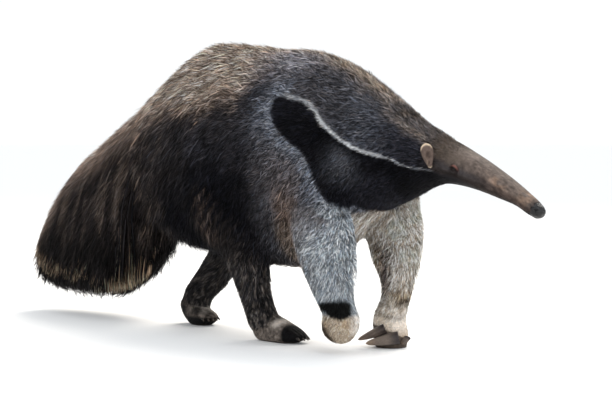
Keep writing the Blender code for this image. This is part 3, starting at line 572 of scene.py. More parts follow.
def regions(points):
    """Share of each form in each point, and the row of the body that it lies beside."""
    scores, rows = [], []
    for form in FORMS:
        s, r = form.nearness(points)
        scores.append(s)
        rows.append(r)
    scores = np.array(scores)
    low = scores.min(0)
    share = np.exp(-(scores - low) * 9.0)
    share /= share.sum(0)
    return share, np.array(rows)


SHARE, ROWS = regions(SKIN_CO)


def lie(points, share, rows):
    """The way the hair lies, before it is laid on the skin."""
    down = np.array((0.0, 0.0, -1.0))
    total = np.zeros_like(points)
    x, z = points[:, 0], points[:, 2]
    for i, form in enumerate(FORMS):
        frames = np.array([f[2] for f in form.frames])
        along = frames[rows[i]].copy()
        along[:, 1] *= form.side
        if form.name == "body":
            fore = np.interp(z, (0.24, 0.36, 0.44, 0.50, 0.58, 0.66), (2.2, 1.5, 0.85, 0.35, 0.22, 0.15))
            rear = np.interp(z, (0.24, 0.40, 0.50, 0.58, 0.66), (3.4, 2.6, 1.7, 0.65, 0.22))
            fall = fore + (rear - fore) * smooth(-0.16, -0.34, x)
            neck = np.interp(x, (0.08, 0.15, 0.24, 0.30, 0.36, 0.55), (0.80, 0.60, 0.42, 0.25, 0.10, 0.04))
            fall = fall + (neck - fall) * smooth(0.04, 0.16, x)
            way = -along + down * fall[:, None]
        elif form.name == "tail":
            way = np.array((-0.42, 0.0, -1.0)) + np.zeros_like(points)
        elif form.name.startswith("foot"):
            way = along * 1.0
        else:
            back = np.where(z > 0.10, -0.75, -0.25) if form.name == "fore_R" else np.full(len(z), -0.35)
            way = along + back[:, None] * np.array((1.0, 0.0, 0.0))
        total += unit(way) * share[i][:, None]
    return total


def laid(way, no):
    return unit(way - no * (way * no).sum(1, keepdims=True))


def depth_of(points, no, limit=0.20):
    """How far the outline lies from the skin along its normal."""
    depth = np.empty(len(points))
    for i, (p, n) in enumerate(zip(points, no)):
        hit = OUTER.ray_cast(Vector(p), Vector(n), limit)
        depth[i] = hit[3] if hit[0] is not None else 0.0
    return depth


DEPTH = depth_of(SKIN_CO, SKIN_NO)
WAY = laid(lie(SKIN_CO, SHARE, ROWS), SKIN_NO)


# --------------------------------------------------------------- markings
def tone(r, g, b):
    """A colour named by its screen values, as the linear colour of a surface."""
    c = np.array((r, g, b), float) / 255.0
    return np.where(c <= 0.04045, c / 12.92, ((c + 0.055) / 1.055) ** 2.4)


SHADE = 1.45      # how much lighter a hair is than the coat that it makes
TONES = {name: tone(*rgb) * SHADE for name, rgb in {
    "snout_top_lit": (75, 66, 61), "snout_side": (42, 37, 36), "snout_far": (54, 45, 41), "snout_under": (32, 26, 24),
    "snout_tan": (114, 92, 76), "snout_rim": (66, 50, 42), "crown": (66, 58, 52), "cheek": (23, 19, 18),
    "eye_patch": (20, 14, 13), "shade_band": (48, 46, 48),
    "nape": (104, 93, 84), "crest": (40, 35, 32), "ridge": (120, 104, 90), "neck": (31, 31, 36), "upper_neck": (52, 53, 58),
    "stripe": (214, 216, 222), "wedge": (9, 9, 12), "wedge_grizzle": (66, 67, 72),
    "border": (88, 92, 101), "shoulder": (52, 51, 54), "back": (96, 94, 99),
    "rump": (121, 105, 94), "flank": (30, 29, 32), "low_flank": (8, 8, 11), "skirt": (31, 29, 30),
    "brown": (72, 61, 55), "belly": (84, 74, 66),
    "arm_pale_shaded": (132, 139, 146), "arm_mid": (92, 92, 94), "arm_cream_sunlit": (214, 199, 181), "arm_dark": (80, 74, 74),
    "arm_tan": (150, 126, 100), "band": (10, 10, 10), "hand": (152, 137, 120), "hand_low": (40, 31, 23), "hand_edge": (210, 200, 190),
    "thigh": (26, 23, 22), "shank": (27, 26, 27), "shank_highlight": (112, 104, 98), "hind_foot": (90, 82, 76), "foot_pale": (200, 190, 180),
    "toe": (9, 8, 9),
    "tail_top": (134, 117, 107), "tail": (23, 20, 20), "tail_streak": (78, 69, 63), "tail_low": (11, 10, 10),
    "tail_tip": (196, 166, 138), "nose": (7, 7, 9),
}.items()}

# The white stripe, from the back to the ear, and the rear and lower edge of the
# black wedge, both as (x, z) on the flank.
STRIPE = np.array((
    (-0.0548, 0.5532), (-0.0361, 0.5485), (-0.0029, 0.5426), (0.0263, 0.5313), (0.0487, 0.5174),
    (0.0645, 0.5010), (0.0810, 0.4849), (0.1050, 0.4688), (0.1266, 0.4542), (0.1465, 0.4424),
    (0.1658, 0.4344), (0.1875, 0.4279), (0.2064, 0.4225), (0.2324, 0.4134), (0.2519, 0.4030),
    (0.2764, 0.3970), (0.3023, 0.3946), (0.3220, 0.3928),
))
EDGE = np.array((
    (-0.0548, 0.5532), (-0.0788, 0.5492), (-0.0843, 0.5361), (-0.0815, 0.5187), (-0.0657, 0.4908),
    (-0.0414, 0.4687), (-0.0116, 0.4525), (0.0161, 0.4391), (0.0376, 0.4202), (0.0611, 0.3937),
    (0.0760, 0.3674), (0.0901, 0.3462), (0.1046, 0.3251), (0.1190, 0.3093), (0.1275, 0.3035),
))
THROAT = np.array(((0.110, 0.270), (0.200, 0.200), (0.345, 0.300)))     # closes the wedge under the throat


def from_line(x, z, line):
    """Distance from a bent line in the side view."""
    best = np.full(len(x), 1e9)
    for (ax, az), (bx, bz) in zip(line[:-1], line[1:]):
        dx, dz = bx - ax, bz - az
        t = np.clip(((x - ax) * dx + (z - az) * dz) / (dx * dx + dz * dz), 0, 1)
        best = np.minimum(best, np.hypot(x - ax - t * dx, z - az - t * dz))
    return best


def within(x, z, loop):
    inside = np.zeros(len(x), bool)
    for (ax, az), (bx, bz) in zip(loop, np.roll(loop, -1, axis=0)):
        crosses = (az > z) != (bz > z)
        at = ax + (z - az) / (bz - az if bz != az else 1e-9) * (bx - ax)
        inside ^= crosses & (x < at)
    return inside


WEDGE = np.vstack((STRIPE, THROAT[::-1], EDGE[::-1]))


def mixed(base, other, amount):
    return base + (other - base) * np.clip(amount, 0, 1)[:, None]


def markings(p, share, fine=True):
    """Colour of the coat at points of the animal, and how much its hairs differ.
    The skin and every hair ask this one function."""
    x, y, z = p[:, 0], p[:, 1], p[:, 2]
    n = len(p)
    cloud = lattice(p, 0.045, 3) - 0.5
    cloud_fine = lattice(p, 0.016, 5) - 0.5
    wide = lattice(p, 0.120, 7) - 0.5
    jitter = 0.006 * cloud_fine + 0.008 * cloud
    out = np.zeros((n, 3))
    colour = np.tile(TONES["flank"], (n, 1))
    spread = np.full(n, 0.42)

    # Trunk, from the hips to the neck.
    strand = lattice(np.stack([x + 0.25 * z, y, z * 0.28], 1), 0.013, 77)
    colour = mixed(colour, TONES["low_flank"], smooth(0.46, 0.36, z + jitter * 2) * smooth(-0.03, -0.08, x))
    colour = mixed(colour, TONES["shoulder"], smooth(-0.16, -0.05, x))
    skirt = smooth(-0.31, -0.37, x + jitter)
    colour = mixed(colour, TONES["skirt"] * (0.5 + 0.8 * strand)[:, None], skirt * smooth(0.26, 0.44, z))
    upper = smooth(0.43, 0.50, z + jitter * 2) * smooth(-0.12, -0.22, x)
    colour = mixed(colour, TONES["skirt"] * (0.5 + 1.3 * strand)[:, None], upper * 0.6)
    tan_line = np.interp(x, (-0.69, -0.578, -0.521, -0.436, -0.372, -0.304, -0.257, -0.202, -0.185, -0.155, -0.10, 0.0),
                         (0.455, 0.505, 0.530, 0.534, 0.530, 0.536, 0.545, 0.560, 0.578, 0.596, 0.603, 0.64))
    blotch = 0.040 * cloud + 0.015 * cloud_fine + 0.035 * (strand - 0.5)
    tan = smooth(-0.040, 0.034, z - tan_line + blotch)
    colour = mixed(colour, TONES["rump"] * (0.72 + 0.56 * lattice(p, 0.030, 37))[:, None], tan * smooth(-0.10, -0.22, x + jitter * 3))
    colour = mixed(colour, TONES["back"], 0.85 * tan * smooth(-0.24, -0.12, x + jitter * 2) * smooth(0.08, -0.06, x + jitter * 2))
    mane_line = np.interp(x, (-0.05, 0.06, 0.13, 0.22, 0.30, 0.36), (0.656, 0.616, 0.570, 0.504, 0.460, 0.432))
    mane = smooth(-0.026, 0.014, z - mane_line + jitter * 2)
    colour = mixed(colour, TONES["upper_neck"], smooth(0.04, 0.16, x))
    colour = mixed(colour, TONES["neck"], smooth(0.15, 0.25, x) * smooth(0.02, -0.03, z - mane_line))
    patches = smooth(0.35, 0.62, lattice(p, 0.030, 39))
    colour = mixed(colour, TONES["nape"], mane * smooth(-0.06, 0.05, x) * (0.30 + 0.70 * patches))
    middle = np.exp(-(y / 0.024) ** 2)
    # A pale tan line along the top of the back: painted backlight on the hair tips.
    ridge = middle * smooth(-0.34, -0.26, x) * smooth(0.20, 0.12, x)
    colour = mixed(colour, TONES["ridge"], ridge * 0.75)
    colour = mixed(colour, TONES["crest"], middle * smooth(0.14, 0.20, x) * smooth(0.37, 0.33, x) * (0.5 + 0.5 * patches))
    spread = spread + 0.04 * np.maximum(tan, mane)
    brown = smooth(-0.072, -0.035, x + jitter) * smooth(0.055, 0.01, x) * smooth(0.40, 0.30, z)
    colour = mixed(colour, TONES["brown"] * (0.55 + 0.9 * strand)[:, None], brown * 0.9)
    colour = mixed(colour, TONES["belly"], smooth(0.290, 0.250, z) * smooth(0.06, 0.02, x) * smooth(-0.085, -0.055, x) * 0.8)
    chest = smooth(0.305, 0.290, z + jitter) * smooth(-0.01, 0.03, x) * smooth(-0.062, -0.040, y)
    colour = mixed(colour, TONES["arm_cream_sunlit"] * 0.8, chest)

    # The pale border behind the wedge, the wedge, and the white stripe.
    inside = within(x, z, WEDGE)
    to_edge, to_stripe = from_line(x, z, EDGE), from_line(x, z, STRIPE)
    edge = np.where(inside, to_edge, -to_edge) + jitter
    high = np.interp(x, STRIPE[:, 0], STRIPE[:, 1])
    over = np.where(z > high, to_stripe, -to_stripe)
    reach = np.interp(z, (0.30, 0.40, 0.48, 0.56), (0.022, 0.028, 0.036, 0.034))
    behind = np.exp(-(np.clip(-edge, 0, None) / reach) ** 1.2) * (1 - inside) * smooth(0.605, 0.565, z)
    behind *= np.where((z > high + 0.004) & (x > -0.04), 0.0, 1.0) * smooth(0.120, 0.104, x) * smooth(0.02, -0.02, y - 0.5 * (z - 0.32))
    colour = mixed(colour, TONES["border"], behind * 0.95)
    dim = np.exp(-((x + 0.02) / 0.07) ** 2 - ((z - 0.400) / 0.070) ** 2) * (1 - inside) * smooth(-0.012, -0.035, edge)
    colour = mixed(colour, TONES["arm_dark"] * 0.8, dim * 0.5)
    spread = spread + 0.30 * behind
    black = inside * smooth(-0.001, 0.006, edge) * smooth(0.003, -0.003, over)
    black = np.maximum(black, (x > 0.14) * smooth(0.002, -0.004, over))
    # It thins out forward along the jaw.
    jaw = np.interp(x, (0.30, 0.36, 0.42, 0.47), (0.395, 0.378, 0.356, 0.334))
    black *= 1 - smooth(0.300, 0.335, x) * (1 - smooth(0.010, -0.004, z - jaw + jitter * 0.4) * smooth(0.46, 0.36, x))
    deep_black = TONES["wedge"] * (1 + 1.6 * smooth(0.40, 0.36, z) * smooth(0.09, 0.15, x) * smooth(0.24, 0.20, x) + 0.9 * smooth(0.490, 0.515, z))[:, None]
    colour = mixed(colour, deep_black, black)
    spread = spread * (1 - 0.2 * black)
    grizzle = black * np.exp(-((x - 0.120) / 0.030) ** 2 - ((z - 0.405) / 0.036) ** 2) * smooth(0.004, 0.020, -over)
    colour = mixed(colour, TONES["wedge_grizzle"], grizzle * 0.75)
    strength = np.interp(x, (-0.06, -0.03, 0.02, 0.06, 0.09, 0.17, 0.20, 0.235, 0.26, 0.325, 0.335),
                         (0.20, 0.42, 0.55, 0.85, 0.95, 0.80, 0.56, 0.32, 0.22, 0.14, 0.0))
    half = np.interp(x, (-0.05, 0.0, 0.06, 0.16, 0.21, 0.26, 0.33), (0.0060, 0.0047, 0.0036, 0.0033, 0.0028, 0.0022, 0.0019))
    ragged = 0.0030 * (lattice(p, 0.0055, 91) - 0.5)
    white = np.exp(-np.abs((over - 0.2 * half + 0.3 * jitter + ragged) / (0.86 * half)) ** 3.0) * strength
    colour = mixed(colour, TONES["stripe"], white)
    spread = spread * (1 - 0.5 * white)

    # Head and snout.
    to_head = smooth(0.285, 0.325, x)
    axis_z = np.interp(x, (0.30, 0.334, 0.384, 0.427, 0.472, 0.51, 0.547), (0.412, 0.408, 0.393, 0.377, 0.357, 0.337, 0.3135))
    half_z = np.interp(x, (0.30, 0.334, 0.384, 0.427, 0.472, 0.51, 0.547), (0.058, 0.045, 0.036, 0.029, 0.0235, 0.0175, 0.0155))
    level = (z - axis_z) / half_z
    far = smooth(0.415, 0.475, x)
    side_tone = mixed(np.tile(TONES["snout_side"], (n, 1)), TONES["snout_far"], far)
    bend = level + cloud_fine * 0.35
    # The head and snout are painted lighter along the top, partly their own colour and partly light from above, and
    # darker beneath.
    face = mixed(side_tone, TONES["snout_top_lit"], smooth(0.02, 0.50, bend - 0.10 * far))
    face = mixed(face, TONES["snout_under"], smooth(-0.10, -0.55, bend - 0.25 * far * 0))
    face = mixed(face, TONES["snout_rim"], smooth(-0.70, -0.92, level) * smooth(0.40, 0.45, x) * 0.8)
    rusty = np.exp(-((x - 0.466) / 0.020) ** 2) * smooth(0.10, 0.45, level) * smooth(0.98, 0.70, level)
    rusty = rusty + np.exp(-((x - 0.528) / 0.015) ** 2) * smooth(-0.10, 0.25, level)
    rusty = rusty * smooth(0.25, 0.55, lattice(p, 0.010, 29))
    face = mixed(face, TONES["snout_tan"], rusty * 0.45)
    # A painted highlight on the upper side of the snout.
    painted_highlight = np.exp(-((x - 0.440) / 0.030) ** 2 - ((level - 0.42) / 0.22) ** 2)
    face = face * (1 + 0.18 * painted_highlight)[:, None]
    mottle = lattice(np.stack([0.45 * (x * 0.82 - z * 0.57), y, x * 0.57 + z * 0.82], 1), 0.0032, 31) - 0.5
    face = face * (1 + 0.75 * mottle + 0.5 * (lattice(p, 0.0075, 33) - 0.5))[:, None]
    shadow = np.exp(-((level - 0.02) / 0.20) ** 2) * smooth(0.315, 0.345, x) * smooth(0.435, 0.385, x)
    face = mixed(face, TONES["shade_band"], shadow * 0.55)
    cheeks = smooth(0.43, 0.37, x) * smooth(0.05, -0.45, bend)
    face = mixed(face, TONES["cheek"], cheeks)
    face = mixed(face, TONES["crown"], smooth(0.40, 0.34, x) * smooth(0.05, 0.5, bend) * (0.65 + 0.35 * patches))
    to_eye = np.sqrt((x - EYE[0]) ** 2 + (np.abs(y) - EYE[1]) ** 2 + (z - EYE[2]) ** 2)
    face = mixed(face, TONES["crown"] * 1.25, 0.7 * np.exp(-((x - 0.372) / 0.016) ** 2 - ((z - 0.4165) / 0.0075) ** 2))
    face = mixed(face, TONES["eye_patch"], smooth(0.014, 0.008, to_eye) * 0.80)
    below = np.exp(-((x - 0.3735) / 0.0055) ** 2 - ((z - 0.3855) / 0.0055) ** 2)
    face = mixed(face, TONES["eye_patch"], below)
    keep = np.clip(black * 0.92 + white * 0.8, 0, 1)
    colour = mixed(colour, face, to_head * (1 - keep))
    spread = spread * (1 - 0.45 * to_head)
    ahead = (x - 0.5455) * 0.88 - (z - 0.327) * 0.47
    colour = mixed(colour, TONES["toe"] * 3.0, 0.6 * smooth(-0.012, -0.002, ahead + 0.008 * (lattice(p, 0.0045, 35) - 0.5)))
    colour = mixed(colour, TONES["nose"], smooth(-0.0035, 0.0010, ahead + 0.006 * (lattice(p, 0.0045, 35) - 0.5)))

    # Fore legs: pale, with a black band at the wrist and a tan hand. Both carry the same pale fur; the left one is
    # painted warm cream as in sunlight, the right one blue-grey as in shade.
    for k, side in ((NAMES.index("fore_R"), -1), (NAMES.index("fore_L"), 1)):
        warm = side > 0
        leg = np.tile(TONES["arm_cream_sunlit" if warm else "arm_pale_shaded"], (n, 1))
        cx = np.interp(z, (0.024, 0.06, 0.10, 0.145, 0.20, 0.265, 0.34), (0.082, 0.08, 0.088, 0.087, 0.078, 0.064, 0.048))
        hx = np.interp(z, (0.024, 0.10, 0.145, 0.20, 0.265), (0.037, 0.040, 0.048, 0.060, 0.070))
        front = (x - cx) / hx
        fleck = smooth(0.56, 0.80, lattice(p * np.array((1.0, 1.0, 0.45)), 0.0065, 11 + k))
        if warm:
            across = 0.701 * x + 0.712 * y
            leg = mixed(leg, TONES["arm_tan"] * (0.6 + 0.5 * fleck)[:, None], 0.32 * smooth(0.50, 0.74, lattice(p, 0.019, 19)))
            leg = mixed(leg, TONES["arm_dark"], (fleck * 0.42 + 0.15 * cloud) * smooth(0.28, 0.16, z))
            leg = mixed(leg, TONES["arm_dark"], 0.55 * smooth(0.128, 0.100, across) * smooth(0.24, 0.19, z) * smooth(0.10, 0.13, z))
            leg = mixed(leg, TONES["arm_mid"], 0.55 * np.exp(-((z - 0.205) / 0.020) ** 2) * smooth(0.7, 0.2, front))
            # Painted shade on the inner face of the left foreleg.
            inner_shade = np.exp(-((x - 0.075) / 0.022) ** 2 - ((z - 0.160) / 0.058) ** 2) * smooth(0.112, 0.090, y)
            leg = mixed(leg, TONES["arm_dark"] * 0.75, inner_shade * 0.95)
            leg = mixed(leg, TONES["arm_tan"], 0.75 * smooth(0.0, -0.7, front) * smooth(0.15, 0.19, z))
            leg = leg * np.interp(z, (0.085, 0.12, 0.16, 0.21, 0.26), (0.60, 0.68, 0.95, 1.0, 1.0))[:, None]
            band = np.exp(-((z - 0.100) / 0.009) ** 2) * smooth(0.35, 0.80, front) * (y > 0.07) * 0.9
            leg = mixed(leg, TONES["arm_tan"] * 0.7, np.exp(-((z - 0.110) / 0.014) ** 2) * smooth(-0.1, 0.5, front) * 0.75)
        else:
            leg = mixed(leg, TONES["arm_dark"] * 0.8, fleck * 0.48 + 0.30 * cloud)
            leg = mixed(leg, TONES["arm_mid"], smooth(0.25, -0.55, front) * smooth(0.11, 0.20, z) * 0.85)
            leg = mixed(leg, TONES["arm_dark"], smooth(0.225, 0.300, z + jitter) * 0.80 * smooth(-0.010, -0.030, edge))
            leg = mixed(leg, TONES["brown"] * 1.5, 0.6 * smooth(-0.55, -0.95, front) * smooth(0.10, 0.14, z))
            round_arm = np.arctan2(-(y + 0.088), x - 0.088)      # 0 ahead, pi / 2 outward
            low = np.interp(round_arm, (-2.0, -0.2, 0.25, 0.70, 1.15, 1.7, 3.0), (0.098, 0.098, 0.083, 0.0755, 0.0790, 0.0900, 0.094))
            top = np.interp(round_arm, (-2.0, -0.2, 0.25, 0.70, 1.15, 1.7, 3.0), (0.108, 0.107, 0.114, 0.1180, 0.1180, 0.114, 0.108))
            band = smooth(-0.0035, 0.0035, z - low + 0.5 * jitter) * smooth(0.004, -0.004, z - top + 0.8 * jitter)
            band *= smooth(-0.25, 0.25, round_arm)
        paw = mixed(np.tile(TONES["hand"], (n, 1)), TONES["arm_tan"] * 0.8, 0.50 * smooth(0.45, 0.8, cloud_fine + 0.5))
        if warm:
            paw = mixed(paw, TONES["arm_cream_sunlit"] * 0.75, smooth(0.030, 0.060, z))
            scallop = np.interp(across, (0.080, 0.100, 0.126, 0.142, 0.155, 0.175), (0.0520, 0.0430, 0.0340, 0.0250, 0.0160, 0.0120))
            horny = smooth(0.0015, -0.0015, z - scallop + 0.3 * jitter)
            paw = mixed(paw, TONES["hand_low"] * 1.3, 0.6 * np.exp(-((z - 0.068 - 0.02 * cloud) / 0.006) ** 2))
            paw = mixed(paw, TONES["hand_edge"], smooth(0.35, 0.95, front) * 0.6 * smooth(0.02, 0.05, z))
            paw = mixed(paw, tone(62, 54, 50) * (0.5 + 1.1 * lattice(p, 0.006, 63))[:, None], horny * 0.92)
        else:
            paw = mixed(paw, TONES["hand_low"], smooth(1.15, 1.9, round_arm + (0.055 - z) * 16) * smooth(0.075, 0.055, z))
            paw = mixed(paw, TONES["hand_edge"], smooth(0.35, -0.25, round_arm) * smooth(0.035, 0.055, z))
        leg = mixed(leg, paw, smooth(0.092, 0.078, z))
        leg = mixed(leg, TONES["band"], band)
        # The wedge's black runs on over the top of the arm, and the leg's pale below it.
        lift = 0.022 if warm else 0.0
        on = smooth(0.20, 0.75, share[k]) * smooth(0.335, 0.285, z - lift - 0.10 * (x - 0.06) + jitter)
        colour = mixed(colour, leg, on * (1 - black * smooth(0.285, 0.300, z - 1.5 * lift)))
        spread = spread + ((0.46 if warm else 0.36) - 0.04 * smooth(0.095, 0.080, z) - spread) * on

    # Hind legs and feet.
    for k, foot, side in (
        (NAMES.index("hind_R"), NAMES.index("foot_R"), -1),
        (NAMES.index("hind_L"), NAMES.index("foot_L"), 1),
    ):
        leg = mixed(np.tile(TONES["thigh"], (n, 1)), TONES["shank"], smooth(0.22, 0.16, z))
        # Pale flecks on the lower hind legs: painted highlights on the dark hair.
        fleck = smooth(0.45, 0.75, lattice(p * np.array((1.0, 1.0, 0.55)), 0.0045, 23 + k))
        leg = mixed(leg, TONES["shank_highlight"], fleck * smooth(0.215, 0.150, z) * (0.40 if side < 0 else 0.22))
        rusty = np.exp(-((x + 0.268) / 0.030) ** 2) * smooth(0.395, 0.345, z) * smooth(0.205, 0.245, z) if side < 0 else 0.0 * x
        leg = mixed(leg, TONES["brown"] * (0.7 + 0.6 * strand)[:, None], rusty * 0.9)
        on = smooth(0.20, 0.75, share[k]) * smooth(0.42, 0.34, z)
        colour = mixed(colour, leg, on * (1 - 0.8 * skirt * smooth(0.18, 0.24, z)))
        if side < 0:
            sole = mixed(np.tile(TONES["hind_foot"], (n, 1)), TONES["toe"], smooth(-0.124, -0.110, x + 0.3 * jitter))
            spot = np.exp(-((x + 0.134) / 0.011) ** 2 - ((z - 0.046) / 0.009) ** 2)
        else:
            sole = mixed(np.tile(TONES["hind_foot"] * 1.5, (n, 1)), TONES["toe"], smooth(0.024, 0.018, z))
            sole = mixed(sole, TONES["snout_tan"], np.exp(-((x + 0.462) / 0.008) ** 2 - ((z - 0.010) / 0.006) ** 2))
            spot = np.exp(-((x + 0.498) / 0.024) ** 2 - ((z - 0.041) / 0.009) ** 2)
        sole = sole * (0.90 + 1.5 * (lattice(p, 0.0045, 71) - 0.5))[:, None]
        sole = mixed(sole, TONES["foot_pale"], spot * 0.8)
        colour = mixed(colour, sole, smooth(0.25, 0.7, share[foot]))

    # Tail.
    k = NAMES.index("tail")
    top = np.interp(x, (-1.09, -1.05, -0.99, -0.915, -0.83, -0.735, -0.64), (0.18, 0.245, 0.32, 0.392, 0.44, 0.495, 0.545))
    tail = mixed(np.tile(TONES["tail"], (n, 1)), TONES["tail_top"], smooth(0.12, 0.0, top - z + wide * 0.1))
    streak = smooth(0.50, 0.78, lattice(np.stack([x - 0.20 * z, y, z * 0.20], 1), 0.016, 73))
    tail = mixed(tail, TONES["tail_streak"], streak * smooth(0.14, 0.28, z) * 0.60)
    tail = mixed(tail, TONES["tail_low"], smooth(0.26, 0.16, z) * 0.85 * (1 - 0.5 * streak))
    haunch = smooth(-0.40, -0.58, x + 0.14 * (strand - 0.5)) * (1 - tan) * (1 - share[NAMES.index("hind_R")] - share[NAMES.index("hind_L")])
    blur = 0.5 * (strand - 0.5)
    colour = mixed(colour, tail, np.maximum(np.maximum(smooth(0.20, 0.80, share[k] + blur), smooth(-0.58, -0.68, x + 0.08 * blur)), haunch))
    spread = np.where(share[k] > 0.5, 0.52, spread)
    gain = 1.0 + 0.35 * cloud + 0.30 * cloud_fine * (1 - to_head * 0.5) + 0.2 * wide
    return np.clip(colour * gain[:, None], 0.0015, 0.9), np.clip(spread, 0.08, 0.8)


# --------------------------------------------------------------- materials
def principled(name, roughness, **fixed):
    made = bpy.data.materials.new(name)
    made.use_nodes = True
    shader = made.node_tree.nodes["Principled BSDF"]
    shader.inputs["Roughness"].default_value = roughness
    for key, value in fixed.items():
        shader.inputs[key.replace("_", " ")].default_value = value
    return made, made.node_tree, shader


def tinted(tree, shader, layer="tint", scale=0.0, low=0.8, high=1.2):
    """Base colour from the painted layer, with a fine cloudiness if scale is set."""
    paint = tree.nodes.new("ShaderNodeAttribute")
    paint.attribute_name = layer
    if not scale:
        tree.links.new(paint.outputs["Color"], shader.inputs["Base Color"])
        return paint
    place = tree.nodes.new("ShaderNodeTexCoord")
    cloud = tree.nodes.new("ShaderNodeTexNoise")
    cloud.inputs["Scale"].default_value = scale
    cloud.inputs["Detail"].default_value = 4.0
    tree.links.new(place.outputs["Object"], cloud.inputs["Vector"])
    span = tree.nodes.new("ShaderNodeMapRange")
    span.inputs["From Min"].default_value = 0.3
    span.inputs["From Max"].default_value = 0.7
    span.inputs["To Min"].default_value = low
    span.inputs["To Max"].default_value = high
    tree.links.new(cloud.outputs["Fac"], span.inputs["Value"])
    times = tree.nodes.new("ShaderNodeVectorMath")
    times.operation = "SCALE"
    tree.links.new(paint.outputs["Color"], times.inputs[0])
    tree.links.new(span.outputs["Result"], times.inputs["Scale"])
    tree.links.new(times.outputs["Vector"], shader.inputs["Base Color"])
    return place


def bumped(tree, shader, place, scale, distance, strength=1.0, detail=3.0, kind="noise"):
    if kind == "noise":
        grain = tree.nodes.new("ShaderNodeTexNoise")
        grain.inputs["Detail"].default_value = detail
        out = "Fac"
    else:
        grain = tree.nodes.new("ShaderNodeTexVoronoi")
        out = "Distance"
    grain.inputs["Scale"].default_value = scale
    tree.links.new(place.outputs["Object"], grain.inputs["Vector"])
    bump = tree.nodes.new("ShaderNodeBump")
    bump.inputs["Strength"].default_value = strength
    bump.inputs["Distance"].default_value = distance
    tree.links.new(grain.outputs[out], bump.inputs["Height"])
    tree.links.new(bump.outputs["Normal"], shader.inputs["Normal"])
    return bump


COAT, tree, shader = principled("coat_hair", 0.42, Specular_IOR_Level=0.035)
tinted(tree, shader)

SKIN, tree, shader = principled("coat_skin", 0.60, Specular_IOR_Level=0.08)
bumped(tree, shader, tinted(tree, shader, "tint", 260.0, 0.82, 1.18), 1400.0, 0.0007, 0.9)

NOSE, tree, shader = principled("nose_leather", 0.20, Specular_IOR_Level=0.34)
bumped(tree, shader, tinted(tree, shader, "tint", 500.0, 0.8, 1.2), 1300.0, 0.0004, 0.7, kind="cells")

PAD, tree, shader = principled("pad_leather", 0.55, Specular_IOR_Level=0.15)
bumped(tree, shader, tinted(tree, shader, "tint", 300.0, 0.8, 1.2), 900.0, 0.0006, 0.8, kind="cells")

EYE_LOOK, tree, shader = principled("eye_gloss", 0.07, Specular_IOR_Level=0.14, Coat_Weight=0.12, Coat_Roughness=0.03)
tinted(tree, shader, "tint", 900.0, 0.8, 1.2)

HORN, tree, shader = principled("claw_horn", 0.36, Specular_IOR_Level=0.22)
place = tinted(tree, shader, "tint", 420.0, 0.72, 1.20)
bumped(tree, shader, place, 700.0, 0.0004, 0.6)


def paint(obj, colours, layer="tint"):
    """Write one colour to each corner point of the mesh."""
    mesh = obj.data
    held = mesh.attributes.get(layer) or mesh.attributes.new(layer, "FLOAT_COLOR", "POINT")
    full = np.ones((len(mesh.vertices), 4), np.float32)
    full[:, :3] = colours
    held.data.foreach_set("color", full.ravel())


def dress(obj, *looks):
    obj.data.materials.clear()
    for look in looks:
        obj.data.materials.append(look)


def smooth_shade(mesh):
    mesh.polygons.foreach_set("use_smooth", np.ones(len(mesh.polygons), bool))
    mesh.update()


# ------------------------------------------------------------- skin's look
colours, _ = markings(SKIN_CO, SHARE)
ahead = (SKIN_CO[:, 0] - 0.5455) * 0.88 - (SKIN_CO[:, 2] - 0.327) * 0.47
for side in (-1, 1):
    centre, out, slit = EYE * (1, side, 1), EYE_OUT * (1, side, 1), EYE_SLIT * (1, side, 1)
    slit = unit(slit - out * (slit @ out))
    up = np.cross(out, slit) * side
    up = -up if up[2] < 0 else up
    d = SKIN_CO - centre
    u, v = d @ slit, d @ up
    r = np.linalg.norm(d, axis=1)
    rim = np.exp(-((np.hypot(u / 0.0074, v / 0.0040) - 1.0) / 0.30) ** 2) * (r < 0.013)
    colours = mixed(colours, tone(24, 17, 16), rim * 0.9)
    lid = np.exp(-((v - 0.0052 + 40 * u * u) / 0.0021) ** 2 - (u / 0.0078) ** 2) * (r < 0.016)
    colours = mixed(colours, tone(122, 82, 74), lid * 0.85)
sole = smooth(0.004, 0.0015, SKIN_CO[:, 2])
colours = mixed(colours, tone(58, 48, 42), sole)
paint(skin, colours)
dress(skin, SKIN, NOSE, PAD)
faces = skin.data.polygons
which = np.zeros(len(faces), np.int32)
mid = np.empty(len(faces) * 3, np.float32)
faces.foreach_get("center", mid)
mid = mid.reshape(-1, 3)
which[((mid[:, 0] - 0.5455) * 0.88 - (mid[:, 2] - 0.327) * 0.47) > 0.0] = 1
which[mid[:, 2] < 0.004] = 2
faces.foreach_set("material_index", which)
smooth_shade(skin.data)

def unwrapped(obj):
    """An unwrap of the piece's own shape, in which each tuft finds its place."""
    bpy.ops.object.select_all(action="DESELECT")
    obj.select_set(True)
    bpy.context.view_layer.objects.active = obj
    obj.data.uv_layers.active = obj.data.uv_layers.new(name="OFBake")
    bpy.ops.object.mode_set(mode="EDIT")
    bpy.ops.mesh.select_all(action="SELECT")
    bpy.ops.uv.smart_project(angle_limit=math.radians(66.0), island_margin=0.002, area_weight=0.0)
    bpy.ops.object.mode_set(mode="OBJECT")


unwrapped(skin)

# ------------------------------------------------------------------- coat
LABEL = SHARE.argmax(0)
IS = {name: i for i, name in enumerate(NAMES)}


def body_level():
    """-1 at the belly, 0 at the widest level and 1 at the back, for each skin point."""
    form = FORMS[0]
    row = form.rows[ROWS[0]]
    up = np.array([f[0] for f in form.frames])[ROWS[0]]
    d = ((SKIN_CO - row[:, :3]) * up).sum(1)
    return np.clip(d / np.where(d >= 0, row[:, 3], row[:, 4]), -1.2, 1.2)


